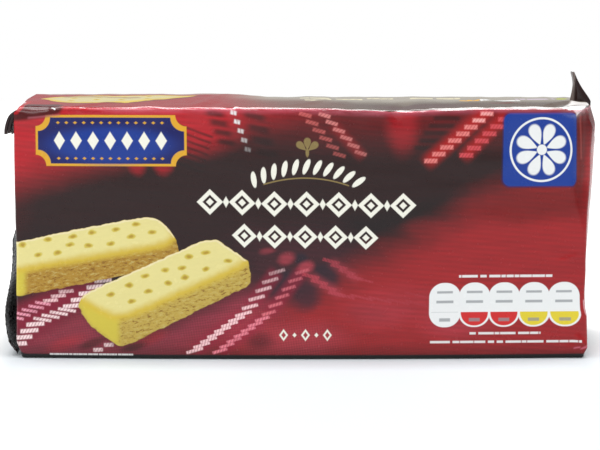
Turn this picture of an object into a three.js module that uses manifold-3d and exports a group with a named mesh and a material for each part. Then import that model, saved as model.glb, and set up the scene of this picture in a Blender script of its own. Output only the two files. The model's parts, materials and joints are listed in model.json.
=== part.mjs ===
// A shut pack of shortbread fingers in printed film, standing on its long edge.
// Millimetres, +Z up. The printed front faces -Y, and X runs along the pack.
// The origin is the centre of the pack's footprint, on the surface it stands on.
//
// The pack can't be seen into, so the biscuits, their tray and the film are one
// solid: a rounded block pushed out where the film is slack, with the folded end
// seals, the loose ears of film and the long back seam joined to it.
import * as THREE from 'three';
import { mergeVertices } from 'three/addons/utils/BufferGeometryUtils.js';
import Module from 'manifold-3d';

// Driving dimensions of the block.
const LENGTH = 166.4;
const DEPTH = 37;
const HEIGHT = 73.4;
const EDGE_RADIUS = 1.8;

// How the film stands away from the block.
const FRONT_BOW = 1.8;
const BACK_BOW = 1.3;
const END_FLARE = 1.1;
const LEFT_END_PUFF = 0.6;
const RIGHT_END_PUFF = 0.8;
const RIGHT_SHOULDER = { puff: 3.3, height: 59, reach: 17 };
const TOP_PUFF = { rise: 0.9, from: -8, to: -22 };
const TOP_HOLLOW = { sag: 0.9, at: 26, reach: 16 };

// Grid of the block: cells along, across and up, and those kept for each rounded edge.
const CELLS = { along: 50, across: 11, up: 20 };
const EDGE_CELLS = 2;

// The end seals: crimped fins with a pinked free edge, folded flat on the ends.
const SEAL = { thickness: 0.6, root: 1.5, tooth: 0.8, toothPitch: 2.5 };
const RIGHT_SEAL = { hinge: -1, free: 11, bottom: 4, top: 69 };
const LEFT_SEAL = { hinge: 3, free: -16, bottom: 2.5, top: 41 };
const LEFT_SEAL_FLARE = { out: 2.36, height: 12.5, reach: 11 };

// The loose ears of film at the top corners.
const RIGHT_EAR = {
  left: 81, right: 86.7, tip: 9.3, tipLean: 0.3, belly: 1.6, root: 4.5, place: 1.4, thickness: 1.2,
};
const LEFT_EAR = { reach: 3.1, drop: 7.6, thickness: 1.9, front: -17, back: 2 };

// The long seam, folded down on the back.
const BACK_SEAM = { low: 32, high: 42, thickness: 0.5, endGap: 3 };

const wasm = await Module();
wasm.setup();

/** A bell of height 1 round a centre. */
function bell(value, centre, reach) {
  return Math.exp(-(((value - centre) / reach) ** 2));
}

/** How far along the slack middle a place is: 1 halfway along, 0 at the ends. */
function slack(x) {
  return Math.max(0, 1 - (x / (LENGTH / 2)) ** 2);
}

/** Distance that the film of one end stands out past the end of the block. */
function endPuff(side, y, z) {
  const acrossEnd = Math.max(0, 1 - (y / (DEPTH / 2)) ** 2);
  const flare = END_FLARE * (1 - (2 * z) / HEIGHT);
  if (side < 0) return flare + LEFT_END_PUFF * acrossEnd;
  const shoulder = RIGHT_SHOULDER.puff * bell(z, RIGHT_SHOULDER.height, RIGHT_SHOULDER.reach);
  return flare + (RIGHT_END_PUFF + shoulder) * acrossEnd;
}

/** Place of an end's film along X. */
function endFace(side, y, z) {
  return side * (LENGTH / 2 + endPuff(side, y, z));
}

/** Place of the back's film along Y. */
function backFace(x) {
  return DEPTH / 2 + BACK_BOW * slack(x);
}

/** Height that the top film gains along the pack, less the sag of its front edge. */
function topRise(x, y) {
  const puff = TOP_PUFF.rise * (1 - THREE.MathUtils.smoothstep(x, TOP_PUFF.to, TOP_PUFF.from));
  const nearFront = 0.5 - y / DEPTH;
  return puff - TOP_HOLLOW.sag * nearFront * bell(x, TOP_HOLLOW.at, TOP_HOLLOW.reach);
}

/** Move every vertex of a geometry with a function that changes the point given. */
function moveVertices(geometry, change) {
  const position = geometry.attributes.position;
  const point = new THREE.Vector3();
  for (let index = 0; index < position.count; index += 1) {
    point.fromBufferAttribute(position, index);
    change(point);
    position.setXYZ(index, point.x, point.y, point.z);
  }
  return geometry;
}

/** Spread evenly spaced grid lines so that each rounded edge keeps lines of its own. */
function spreadLine(value, size, cells) {
  const index = Math.round((value / size + 0.5) * cells);
  const fromEdge = Math.min(index, cells - index);
  const flat = size / 2 - EDGE_RADIUS;
  if (fromEdge < EDGE_CELLS) {
    const turn = (Math.PI / 4) * (1 - fromEdge / EDGE_CELLS);
    return Math.sign(value) * (flat + EDGE_RADIUS * Math.tan(turn));
  }
  return THREE.MathUtils.lerp(-flat, flat, (index - EDGE_CELLS) / (cells - 2 * EDGE_CELLS));
}

/** The plain block with rounded edges, standing on z = 0. */
function roundedBlock() {
  const box = new THREE.BoxGeometry(LENGTH, DEPTH, HEIGHT, CELLS.along, CELLS.across, CELLS.up);
  const flat = new THREE.Vector3(LENGTH, DEPTH, HEIGHT).multiplyScalar(0.5).subScalar(EDGE_RADIUS);
  const low = flat.clone().negate();
  return moveVertices(box, (point) => {
    point.set(
      spreadLine(point.x, LENGTH, CELLS.along),
      spreadLine(point.y, DEPTH, CELLS.across),
      spreadLine(point.z, HEIGHT, CELLS.up),
    );
    const core = point.clone().clamp(low, flat);
    point.sub(core).setLength(EDGE_RADIUS).add(core);
    point.z += HEIGHT / 2;
  });
}

/** The block with the film's bows, puffs and hollows. */
function filledWrapper() {
  return moveVertices(roundedBlock(), (point) => {
    const across = point.y / (DEPTH / 2);
    const bow = across < 0 ? FRONT_BOW : BACK_BOW;
    const side = Math.sign(point.x);
    const nearEnd = THREE.MathUtils.smoothstep(Math.abs(point.x), LENGTH * 0.4, LENGTH * 0.5);
    const puff = side * nearEnd * endPuff(side, point.y, point.z);
    point.y += across * bow * slack(point.x);
    point.z += (point.z / HEIGHT) * topRise(point.x, point.y);
    point.x += puff;
  });
}

/** Zigzag of a pinked edge, from 0 to one tooth. */
function pinking(z) {
  const turn = z / SEAL.toothPitch;
  return SEAL.tooth * 2 * Math.abs(turn - Math.round(turn));
}

/** A strip of seal on one end, from its hinge to its free edge, standing off by a function of z. */
function endSeal(side, strip, standOff) {
  const height = strip.top - strip.bottom;
  const rows = Math.round((2 * height) / SEAL.toothPitch);
  const columns = 5;
  const geometry = new THREE.BoxGeometry(1, 1, 1, 1, columns, rows);
  return moveVertices(geometry, (point) => {
    const outer = point.x * side > 0;
    const open = strip.free < strip.hinge ? 0.5 - point.y : point.y + 0.5;
    const z = strip.bottom + (point.z + 0.5) * height;
    const reach = Math.sign(strip.free - strip.hinge) * pinking(z) * (open > 0.99 ? 1 : 0);
    const y = THREE.MathUtils.lerp(strip.hinge, strip.free, open) - reach;
    const film = SEAL.thickness + standOff(z) * THREE.MathUtils.smoothstep(open, 0, 0.7);
    point.set(endFace(side, y, z) + side * (outer ? film : -SEAL.root), y, z);
  });
}

/** The left seal, whose lower half has sprung away from the end. */
function leftSeal() {
  const { out, height, reach } = LEFT_SEAL_FLARE;
  return endSeal(-1, LEFT_SEAL, (z) => out * bell(z, height, reach));
}

/** The right seal, flat on the end. */
function rightSeal() {
  return endSeal(1, RIGHT_SEAL, () => 0);
}

/** The ear that stands up on the right end: the top of its seal, folded to a curved point. */
function rightEar() {
  const { left, right, tip, tipLean, belly, root, place, thickness } = RIGHT_EAR;
  const outline = new THREE.Shape();
  outline.moveTo(left, HEIGHT - root);
  outline.lineTo(left, HEIGHT);
  outline.quadraticCurveTo(left - belly / 2, HEIGHT + tip / 2, left + tipLean, HEIGHT + tip);
  outline.lineTo(left + 2 * tipLean, HEIGHT + tip - tipLean);
  outline.quadraticCurveTo(right - belly, HEIGHT + tip * 0.38, right, HEIGHT);
  outline.lineTo(right - belly, HEIGHT - root);
  outline.closePath();
  const geometry = new THREE.ExtrudeGeometry(outline, {
    depth: thickness,
    steps: 1,
    curveSegments: 8,
    bevelEnabled: false,
  });
  return moveVertices(geometry, (point) => point.set(point.x, place + thickness - point.z, point.y));
}

/** The ear that hangs down on the left end, seen from the front as a short hooked tab. */
function leftEar() {
  const { reach, drop, thickness, front, back } = LEFT_EAR;
  const end = -LENGTH / 2 + END_FLARE;
  const top = HEIGHT + TOP_PUFF.rise;
  const outline = new THREE.Shape();
  outline.moveTo(end + 3, top - 0.3);
  outline.quadraticCurveTo(end - reach * 0.85, top - 0.6, end - reach - 0.3, top - drop - 0.6);
  outline.lineTo(end - reach + thickness, top - drop - 0.6);
  outline.quadraticCurveTo(end - reach + thickness + 0.5, top - 4.2, end + 3, top - 2.6);
  outline.closePath();
  const geometry = new THREE.ExtrudeGeometry(outline, {
    depth: back - front,
    steps: 3,
    curveSegments: 6,
    bevelEnabled: false,
  });
  return moveVertices(geometry, (point) => point.set(point.x, back - point.z, point.y));
}

/** The long seam on the back. */
function backSeam() {
  const length = LENGTH - 2 * BACK_SEAM.endGap;
  const height = BACK_SEAM.high - BACK_SEAM.low;
  const geometry = new THREE.BoxGeometry(length, 1, height, 24, 1, 1);
  return moveVertices(geometry, (point) => {
    const offset = point.y > 0 ? BACK_SEAM.thickness : -SEAL.root;
    point.y = backFace(point.x) + offset;
    point.z += BACK_SEAM.low + height / 2;
  });
}

/** A closed geometry as a solid that can be joined to others. */
function toSolid(geometry) {
  geometry.deleteAttribute('normal');
  geometry.deleteAttribute('uv');
  const merged = mergeVertices(geometry);
  return new wasm.Manifold(new wasm.Mesh({
    numProp: 3,
    vertProperties: Float32Array.from(merged.attributes.position.array),
    triVerts: Uint32Array.from(merged.index.array),
  }));
}

/** A solid as a geometry that can be shown. */
function toGeometry(solid) {
  const { vertProperties, triVerts } = solid.getMesh();
  const geometry = new THREE.BufferGeometry();
  geometry.setAttribute('position', new THREE.BufferAttribute(vertProperties, 3));
  geometry.setIndex(new THREE.BufferAttribute(triVerts, 1));
  geometry.computeVertexNormals();
  return geometry;
}

/** The whole pack, centred over its footprint. */
function filmPack() {
  const pieces = [filledWrapper(), leftSeal(), rightSeal(), leftEar(), rightEar(), backSeam()];
  const joined = pieces.map(toSolid).reduce((whole, piece) => whole.add(piece));
  const geometry = toGeometry(joined);
  geometry.computeBoundingBox();
  const centre = geometry.boundingBox.getCenter(new THREE.Vector3());
  geometry.translate(-centre.x, -centre.y, 0);
  const film = new THREE.MeshStandardMaterial({ color: 0x8a2e30, roughness: 0.25, metalness: 0 });
  const mesh = new THREE.Mesh(geometry, film);
  mesh.name = 'film_pack';
  return mesh;
}

const pack = new THREE.Group();
pack.add(filmPack());

export default pack;
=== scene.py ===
"""Looks of a shut pack of shortbread fingers in glossy printed film, standing on its long edge.

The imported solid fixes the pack's size and place. Here the film itself replaces it: a wrapper that follows
the same bows, puffs and hollows with finer creases, its crimped end seals, its loose ears, and the long seam
on the back. Shapes are worked out in millimetres and brought to metres when a mesh is finished. The print is
laid over the film in inks, by node maths on the sheet's own coordinates: millimetres along the pack and up
the sheet.
"""

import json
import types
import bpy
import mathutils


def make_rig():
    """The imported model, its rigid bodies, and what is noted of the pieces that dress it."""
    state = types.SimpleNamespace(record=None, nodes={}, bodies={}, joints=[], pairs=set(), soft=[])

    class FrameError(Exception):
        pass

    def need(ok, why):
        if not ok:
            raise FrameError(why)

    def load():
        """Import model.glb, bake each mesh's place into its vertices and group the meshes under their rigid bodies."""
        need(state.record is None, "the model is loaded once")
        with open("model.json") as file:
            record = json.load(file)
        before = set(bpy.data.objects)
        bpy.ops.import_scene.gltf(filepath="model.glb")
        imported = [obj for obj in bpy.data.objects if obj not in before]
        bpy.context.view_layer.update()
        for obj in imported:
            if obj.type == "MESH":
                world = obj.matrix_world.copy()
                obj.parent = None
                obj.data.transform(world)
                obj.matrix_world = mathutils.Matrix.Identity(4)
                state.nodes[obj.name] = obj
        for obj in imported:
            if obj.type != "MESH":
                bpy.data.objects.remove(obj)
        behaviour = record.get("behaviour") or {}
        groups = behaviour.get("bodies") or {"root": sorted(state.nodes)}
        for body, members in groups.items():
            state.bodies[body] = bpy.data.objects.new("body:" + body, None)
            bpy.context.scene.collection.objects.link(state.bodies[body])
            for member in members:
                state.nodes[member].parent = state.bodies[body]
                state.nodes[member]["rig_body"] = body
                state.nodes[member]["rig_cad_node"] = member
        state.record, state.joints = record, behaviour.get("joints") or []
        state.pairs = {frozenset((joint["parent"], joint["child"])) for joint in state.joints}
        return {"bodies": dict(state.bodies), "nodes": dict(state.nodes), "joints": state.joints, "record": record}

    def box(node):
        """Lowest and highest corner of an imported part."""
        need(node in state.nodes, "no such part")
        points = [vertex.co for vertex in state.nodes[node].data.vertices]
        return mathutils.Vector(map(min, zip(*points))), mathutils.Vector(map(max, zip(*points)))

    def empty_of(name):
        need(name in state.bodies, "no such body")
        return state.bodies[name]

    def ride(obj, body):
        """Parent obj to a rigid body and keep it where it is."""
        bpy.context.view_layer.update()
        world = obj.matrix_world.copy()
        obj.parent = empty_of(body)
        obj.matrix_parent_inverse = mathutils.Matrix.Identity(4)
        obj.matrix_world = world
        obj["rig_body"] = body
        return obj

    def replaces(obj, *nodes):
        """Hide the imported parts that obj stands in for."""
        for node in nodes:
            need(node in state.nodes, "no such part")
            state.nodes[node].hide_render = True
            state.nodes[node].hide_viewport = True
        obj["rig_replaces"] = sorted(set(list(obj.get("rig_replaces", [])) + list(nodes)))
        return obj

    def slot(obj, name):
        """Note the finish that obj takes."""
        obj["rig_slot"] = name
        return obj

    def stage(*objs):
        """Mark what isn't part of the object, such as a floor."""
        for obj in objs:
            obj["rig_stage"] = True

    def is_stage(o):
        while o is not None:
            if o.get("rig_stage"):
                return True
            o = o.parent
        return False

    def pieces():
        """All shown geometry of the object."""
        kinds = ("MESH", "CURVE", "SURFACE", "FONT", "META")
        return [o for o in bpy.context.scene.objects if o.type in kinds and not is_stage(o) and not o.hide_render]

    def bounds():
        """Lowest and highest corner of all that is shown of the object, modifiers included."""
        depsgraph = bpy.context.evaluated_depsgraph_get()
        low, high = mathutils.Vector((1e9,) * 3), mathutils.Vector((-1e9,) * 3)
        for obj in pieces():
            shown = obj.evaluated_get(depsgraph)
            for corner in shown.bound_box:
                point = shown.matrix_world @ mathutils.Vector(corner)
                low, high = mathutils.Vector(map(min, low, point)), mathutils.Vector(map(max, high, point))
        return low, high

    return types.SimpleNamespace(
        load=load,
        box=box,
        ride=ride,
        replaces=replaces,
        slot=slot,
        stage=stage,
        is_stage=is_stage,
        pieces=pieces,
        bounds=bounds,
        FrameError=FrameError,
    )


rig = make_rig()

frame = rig.load()
CAD_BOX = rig.bounds()

import json
import logging
import math
from dataclasses import dataclass
from enum import Enum
from functools import cached_property, reduce
from typing import Iterable, Sequence, Union

import bmesh
import bpy
from mathutils import Color, Vector, noise

LOG = logging.getLogger("biscuit_pack")
MM = 0.001
NODE = "film_pack"
SLOT = "printed_film"
BODY = "root"

Pair = tuple[float, float]
Colour = Union[tuple[float, ...], bpy.types.NodeSocket]

# Millimetres on either side of a printed outline over which one ink turns into the next.
PRINT_BLUR = 0.14
# Where along the pack the puff of the top ends and the lift of the front's top edge begins.
LIFT_SPAN: Pair = (-22.0, -8.0)


# -------------------- Small sums --------------------

def smoothstep(low: float, high: float, value: float) -> float:
    """Ease from 0 at low to 1 at high."""
    part = min(1.0, max(0.0, (value - low) / (high - low)))
    return part * part * (3.0 - 2.0 * part)


def bell(value: float, centre: float, reach: float) -> float:
    """A bell of height 1 round a centre."""
    return math.exp(-(((value - centre) / reach) ** 2))


def wave(*place: float) -> float:
    """Smooth noise from about -1 to 1, the same each run."""
    spot = tuple(place) + (0.37,) * (3 - len(place))
    return noise.noise(Vector(spot))


def turned(pair: Pair, degrees: float) -> Pair:
    """Turn a pair of coordinates anticlockwise about the origin.

    Args:
        pair: the coordinates.
        degrees: how far they are turned.

    Returns:
        The turned pair.
    """
    angle = math.radians(degrees)
    u, v = pair
    return (u * math.cos(angle) - v * math.sin(angle), u * math.sin(angle) + v * math.cos(angle))


def pressed(spot: Vector, edge: Sequence[float], outward: Sequence[float], width: float) -> Vector:
    """Press a spot onto a flat that cuts off a square edge.

    Args:
        spot: the spot.
        edge: a point of the edge.
        outward: direction out of the edge, with 1 or -1 along the axes of the two faces that meet there.
        width: how much of each face the flat cuts off.

    Returns:
        The spot, brought in where it lay past the flat.
    """
    over = Vector(outward).dot(spot - Vector(edge)) + width
    return spot - Vector(outward) * (max(0.0, over) / 2)


# -------------------- Shader maths --------------------

class NodeSheet:
    """The node tree of a material or a world, to which every node is added by one method."""

    def __init__(self, owner: bpy.types.Material | bpy.types.World) -> None:
        """Empty the node tree of a material or a world.

        Args:
            owner: the material or the world.
        """
        owner.use_nodes = True
        self.owner = owner
        self.tree = owner.node_tree
        self.tree.nodes.clear()

    def add(self, kind: str, settings: dict | None = None, values: dict | None = None) -> bpy.types.Node:
        """Add one node.

        Args:
            kind: the node's type, without the ShaderNode in front.
            settings: its settings, which are set first.
            values: its sockets by name or number, each with a value, a Field or a socket to link.

        Returns:
            The node.
        """
        sources = {name: getattr(value, "socket", value) for name, value in (values or {}).items()}
        node = self.tree.nodes.new("ShaderNode" + kind)
        for name, setting in (settings or {}).items():
            setattr(node, name, setting)
        for name, source in sources.items():
            if isinstance(source, bpy.types.NodeSocket):
                self.tree.links.new(source, node.inputs[name])
            else:
                node.inputs[name].default_value = source
        return node


Number = Union[float, "Field"]


class Field:
    """A number that changes over a surface: a node's output, with arithmetic."""

    def __init__(self, sheet: NodeSheet, socket: bpy.types.NodeSocket) -> None:
        """Wrap a node's output."""
        self.sheet = sheet
        self.socket = socket

    def math(self, operation: str, *values: Number) -> "Field":
        """Add a Math node.

        Args:
            operation: the node's operation.
            values: what goes into its sockets, in order.

        Returns:
            The node's result.
        """
        node = self.sheet.add("Math", {"operation": operation}, dict(enumerate(values)))
        return Field(self.sheet, node.outputs[0])

    def __add__(self, other: Number) -> "Field":
        """Sum."""
        return self.math("ADD", self, other)

    __radd__ = __add__

    def __sub__(self, other: Number) -> "Field":
        """Difference."""
        return self.math("SUBTRACT", self, other)

    def __rsub__(self, other: Number) -> "Field":
        """Difference, the other way round."""
        return self.math("SUBTRACT", other, self)

    def __mul__(self, other: Number) -> "Field":
        """Product."""
        return self.math("MULTIPLY", self, other)

    __rmul__ = __mul__

    def __truediv__(self, other: Number) -> "Field":
        """Quotient."""
        return self.math("DIVIDE", self, other)

    def __abs__(self) -> "Field":
        """Size without sign."""
        return self.math("ABSOLUTE", self)

    def __round__(self, digits: int = 0) -> "Field":
        """Nearest whole number."""
        return self.math("ROUND", self)

    def least(self, other: Number) -> "Field":
        """The lower of two."""
        return self.math("MINIMUM", self, other)

    def most(self, other: Number) -> "Field":
        """The higher of two."""
        return self.math("MAXIMUM", self, other)

    def folded(self, period: float) -> "Field":
        """Run up and down between 0 and half of a period."""
        return self.math("PINGPONG", self, period / 2)

    def nearest(self, pitch: float, last: int) -> "Field":
        """Number of the nearest of several even steps, from 0 to the last."""
        return round(self / pitch).most(0.0).least(last)

    def eased(self, low: float, high: float, start: float = 0.0, end: float = 1.0) -> "Field":
        """Ease from one value to another.

        Args:
            low: the number up to which the start value holds.
            high: the number from which the end value holds. It may be less than low.
            start: the value at low.
            end: the value at high.

        Returns:
            The eased value.
        """
        if low > high:
            low, high, start, end = high, low, end, start
        values = {"Value": self, "From Min": low, "From Max": high, "To Min": start, "To Max": end}
        node = self.sheet.add("MapRange", {"interpolation_type": "SMOOTHSTEP", "clamp": False}, values)
        return Field(self.sheet, node.outputs[0])

    def within(self, reach: float, blur: float, level: float = 1.0) -> "Field":
        """Reach a level where the number is less than a reach from 0, and 0 past it."""
        return abs(self).eased(reach + blur, reach - blur, 0.0, level)

    def inside(self, blur: float) -> "Field":
        """Turn a distance from an outline into a mask that is 1 inside it."""
        return self.eased(blur, -blur)


class Place:
    """A place on a surface, in millimetres: two numbers, or the vector of them."""

    def __init__(self, sheet: NodeSheet, source: bpy.types.NodeSocket,
                 vector: bpy.types.NodeSocket | None = None,
                 pair: tuple[Field, Field] | None = None) -> None:
        """Wrap a place.

        Args:
            sheet: the node sheet that it belongs to.
            source: the socket of the first place, which noise reads.
            vector: the socket of this place, where it has one.
            pair: its two numbers, where they come without a vector.
        """
        self.sheet = sheet
        self.source = source
        self.vector_socket = vector
        self.pair = pair

    @classmethod
    def on_sheet(cls, sheet: NodeSheet) -> "Place":
        """The place by the film's own UV map."""
        node = sheet.add("UVMap", {"uv_map": Wrapper.UV_NAME})
        return cls(sheet, node.outputs[0], node.outputs[0])

    @classmethod
    def in_space(cls, sheet: NodeSheet) -> "Place":
        """The place in the pack's own frame, in millimetres.

        Args:
            sheet: the node sheet.

        Returns:
            The place.
        """
        node = sheet.add("TexCoord")
        scaled = sheet.add("Mapping", values={"Vector": node.outputs["Object"], "Scale": (1 / MM,) * 3})
        return cls(sheet, scaled.outputs[0], scaled.outputs[0])

    @cached_property
    def socket(self) -> bpy.types.NodeSocket:
        """The place as a vector.

        Returns:
            The socket that gives it.
        """
        if self.vector_socket is not None:
            return self.vector_socket
        return self.sheet.add("CombineXYZ", values=dict(enumerate(self.pair))).outputs[0]

    @cached_property
    def u(self) -> Field:
        """Millimetres along the pack."""
        return self.pair[0] if self.pair else self.dot((1.0, 0.0))

    @cached_property
    def v(self) -> Field:
        """Millimetres up the sheet."""
        return self.pair[1] if self.pair else self.dot((0.0, 1.0))

    def vector(self, operation: str, value: Sequence[float]) -> "Place":
        """Add a Vector Math node that gives a vector."""
        node = self.sheet.add("VectorMath", {"operation": operation}, {0: self, 1: value})
        return Place(self.sheet, self.source, node.outputs["Vector"])

    def at(self, centre: Pair, turn: float = 0.0, size: Pair = (1.0, 1.0)) -> "Place":
        """The place as seen from a centre.

        Args:
            centre: the new origin.
            turn: degrees that the new axes are turned anticlockwise.
            size: what counts as 1 along each new axis.

        Returns:
            The place in the new axes.
        """
        moved = self.vector("SUBTRACT", (*centre, 0.0)) if any(centre) else self
        if turn:
            axes = (turned((1.0, 0.0), turn), turned((0.0, 1.0), turn))
            pair = tuple(moved.dot((u / side, v / side)) for (u, v), side in zip(axes, size))
            return Place(self.sheet, self.source, pair=pair)
        if size == (1.0, 1.0):
            return moved
        return moved.vector("MULTIPLY", (1 / size[0], 1 / size[1], 1.0))

    def length(self) -> Field:
        """Distance from the origin."""
        node = self.sheet.add("VectorMath", {"operation": "LENGTH"}, {0: self})
        return Field(self.sheet, node.outputs["Value"])

    def dot(self, direction: Pair) -> Field:
        """Share of a direction."""
        node = self.sheet.add("VectorMath", {"operation": "DOT_PRODUCT"}, {0: self, 1: (*direction, 0.0)})
        return Field(self.sheet, node.outputs["Value"])

    def noise(self, size: Pair, detail: float = 2.0, rough: float = 0.5, seed: float = 0.0,
              turn: float = 0.0) -> Field:
        """Smooth noise round 0, from about -1 to 1, over the surface as a whole.

        Args:
            size: size of its blotches along and up.
            detail: how many finer layers it has.
            rough: how strong the finer layers are.
            seed: where in the noise it starts.
            turn: degrees that its blotches are turned anticlockwise.

        Returns:
            The noise.
        """
        spot = self.sheet.add("Mapping", {"vector_type": "TEXTURE"}, {
            "Vector": self.source,
            "Location": (-seed, seed / 2, 0.0),
            "Rotation": (0.0, 0.0, math.radians(turn)),
            "Scale": (*size, 1.0),
        })
        values = {"Vector": spot.outputs[0], "Scale": 1.0, "Detail": detail, "Roughness": rough}
        node = self.sheet.add("TexNoise", {"noise_dimensions": "3D"}, values)
        return (Field(self.sheet, node.outputs[0]) - 0.5) * 2.6

    def wobbled(self, reach: float, size: float) -> "Place":
        """Push the place about by noise, for hand-cut or baked edges.

        Args:
            reach: how far it is pushed.
            size: size of the noise's blotches.

        Returns:
            The pushed place.
        """
        push = (self.noise((size, size), 1.0, 0.5, seed) * reach for seed in (17.0, 58.0))
        node = self.sheet.add("CombineXYZ", values=dict(enumerate(push)))
        return self.vector("ADD", node.outputs[0])


# -------------------- Inks and printed shapes --------------------

@dataclass(frozen=True)
class Ink:
    """A printed colour as it looks through the film's gloss, from 0 to 255."""

    red: int
    green: int
    blue: int

    GLOSS_SHARE = 0.030
    DARKEST = 0.0015

    @property
    def linear(self) -> tuple[float, ...]:
        """The ink's own colour: what is seen, less what the gloss gives back."""
        seen = Color((self.red / 255, self.green / 255, self.blue / 255)).from_srgb_to_scene_linear()
        return (*(max(self.DARKEST, level - self.GLOSS_SHARE) for level in seen), 1.0)


class Inks:
    """The inks of the print."""

    NIGHT = Ink(55, 47, 46)
    NIGHT_RED = Ink(84, 47, 49)
    WINE = Ink(122, 46, 50)
    CLOTH_RED = Ink(154, 55, 57)
    SCARLET = Ink(178, 55, 60)
    ROSE = Ink(180, 76, 86)
    MAGENTA = Ink(142, 64, 75)
    ROSE_RED = Ink(178, 62, 70)
    # Painted shade: the dark brown laid where the film's folds look dark.
    UMBER = Ink(76, 50, 48)
    DUSK = Ink(60, 45, 48)
    SLATE = Ink(58, 54, 60)
    HALO = Ink(148, 46, 68)
    HOT_RED = Ink(185, 40, 50)
    BLUSH = Ink(250, 206, 208)
    FILM = Ink(62, 53, 53)
    BLACK = Ink(46, 44, 43)
    THREAD = Ink(248, 220, 220)
    PINK_THREAD = Ink(216, 112, 128)
    SALMON = Ink(216, 112, 108)
    PETAL = Ink(240, 178, 174)
    CREAM = Ink(240, 238, 225)
    CRUMB_TOP = Ink(227, 215, 147)
    CRUMB_EDGE = Ink(214, 186, 76)
    CRUMB_RIM = Ink(240, 226, 188)
    CRUMB_SIDE = Ink(190, 163, 84)
    CRUMB_DARK = Ink(174, 136, 64)
    CRUMB_BROWN = Ink(120, 80, 46)
    CRUMB_DIM = Ink(204, 190, 124)
    CRUMB_END = Ink(208, 190, 80)
    HOLE = Ink(207, 186, 80)
    HOLE_DEEP = Ink(166, 128, 56)
    NAVY = Ink(43, 52, 100)
    BLUE = Ink(44, 72, 150)
    GOLD = Ink(222, 168, 62)
    OLIVE = Ink(140, 122, 82)
    WHITE = Ink(235, 236, 235)
    PALE_GREY = Ink(196, 199, 199)
    SIGNAL_RED = Ink(206, 62, 62)
    SIGNAL_YELLOW = Ink(224, 204, 70)
    PANEL_GREY = Ink(140, 143, 146)


@dataclass(frozen=True)
class Disc:
    """A round or oval shape."""

    centre: Pair
    radii: Pair
    turn: float = 0.0

    def distance(self, place: Place) -> Field:
        """Distance from the outline, less than 0 inside."""
        return (place.at(self.centre, self.turn, self.radii).length() - 1.0) * min(self.radii)


@dataclass(frozen=True)
class Slab:
    """An oblong with rounded corners."""

    centre: Pair
    size: Pair
    corner: float = 0.2
    turn: float = 0.0

    def distance(self, place: Place) -> Field:
        """Distance from the outline, less than 0 inside.

        Args:
            place: the place on the sheet.

        Returns:
            The distance.
        """
        reach = tuple(side / 2 - self.corner for side in self.size)
        local = place.at(self.centre, self.turn).vector("ABSOLUTE", (0, 0, 0))
        over = local.vector("SUBTRACT", (*reach, 0.0)).vector("MAXIMUM", (0, 0, 0))
        return over.length() - self.corner


@dataclass(frozen=True)
class Facet:
    """A convex shape with softly rounded corners, its points given anticlockwise."""

    points: tuple[Pair, ...]
    rounding: float = 1.5

    def distance(self, place: Place) -> Field:
        """Distance from the outline, less than 0 inside.

        Args:
            place: the place on the sheet.

        Returns:
            The distance.
        """
        sides = []
        for start, end in zip(self.points, self.points[1:] + self.points[:1]):
            along = Vector(end) - Vector(start)
            normal = Vector((along.y, -along.x)).normalized()
            sides.append(place.dot((normal.x, normal.y)) - normal.dot(Vector(start)))
        return reduce(lambda whole, side: whole.math("SMOOTH_MAX", whole, side, self.rounding), sides)


@dataclass(frozen=True)
class Ladder:
    """Level rows of one ink between two places, each row a step on from the last."""

    start: Pair
    end: Pair
    rows: int
    width: float
    ink: Ink
    strength: float = 1.0
    turn: float = 6.0
    height: float = 1.1

    def climb(self, place: Place) -> tuple[Field, Field, Field]:
        """Find a place among the rows.

        Args:
            place: the place on the sheet.

        Returns:
            The number of the nearest row, and how far along and above its middle the place is.
        """
        run = turned((self.end[0] - self.start[0], self.end[1] - self.start[1]), -self.turn)
        along, rise = (way / (self.rows - 1) for way in run)
        local = place.at(self.start, self.turn)
        row = local.v.nearest(rise, self.rows - 1)
        return row, local.u - row * along, local.v - row * rise


@dataclass(frozen=True)
class TwillBand(Ladder):
    """A stripe of tartan: rows of short slanted ticks, which may fade from the first row to the last."""

    tick: float = 0.95
    slant: float = 0.6
    fade: Pair = (1.0, 1.0)
    blur: float = 0.25

    def mask(self, place: Place) -> Field:
        """Find where the ticks lie.

        Args:
            place: the place on the sheet.

        Returns:
            The mask, from 0 to the band's strength. Between two ticks of a row it is nearly half as strong.
        """
        row, across, up = self.climb(place)
        ticks = (across - up * self.slant).folded(self.tick).eased(self.tick * 0.04, self.tick * 0.22, 0.45)
        body = across.within(self.width / 2, self.blur)
        level = up.within(self.height / 2, self.blur)
        first, last = (share * self.strength for share in self.fade)
        return ticks * body * level * (row * ((last - first) / (self.rows - 1)) + first)


@dataclass(frozen=True)
class Stripe:
    """A plain soft stripe between two points, as the ground under a row of ticks."""

    start: Pair
    end: Pair
    width: float
    ink: Ink
    strength: float = 0.8
    blur: float = 0.7

    def mask(self, place: Place) -> Field:
        """Find where the stripe lies.

        Args:
            place: the place on the sheet.

        Returns:
            The mask, from 0 to the stripe's strength.
        """
        run = Vector(self.end) - Vector(self.start)
        centre = (Vector(self.start) + Vector(self.end)) / 2
        local = place.at(tuple(centre), math.degrees(math.atan2(run.y, run.x)))
        body = local.v.within(self.width / 2, self.blur)
        return body * local.u.within(run.length / 2, self.blur, self.strength)


@dataclass(frozen=True)
class Rungs(Ladder):
    """Soft plain bars, as the dark checks of a tartan."""

    strength: float = 0.8
    turn: float = 0.0
    height: float = 1.4
    blur: float = 0.5

    def mask(self, place: Place) -> Field:
        """Find where the bars lie.

        Args:
            place: the place on the sheet.

        Returns:
            The mask, from 0 to the ladder's strength.
        """
        _, across, up = self.climb(place)
        body = across.within(self.width / 2, 2 * self.blur)
        return body * up.within(self.height / 2, self.blur, self.strength)


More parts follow.
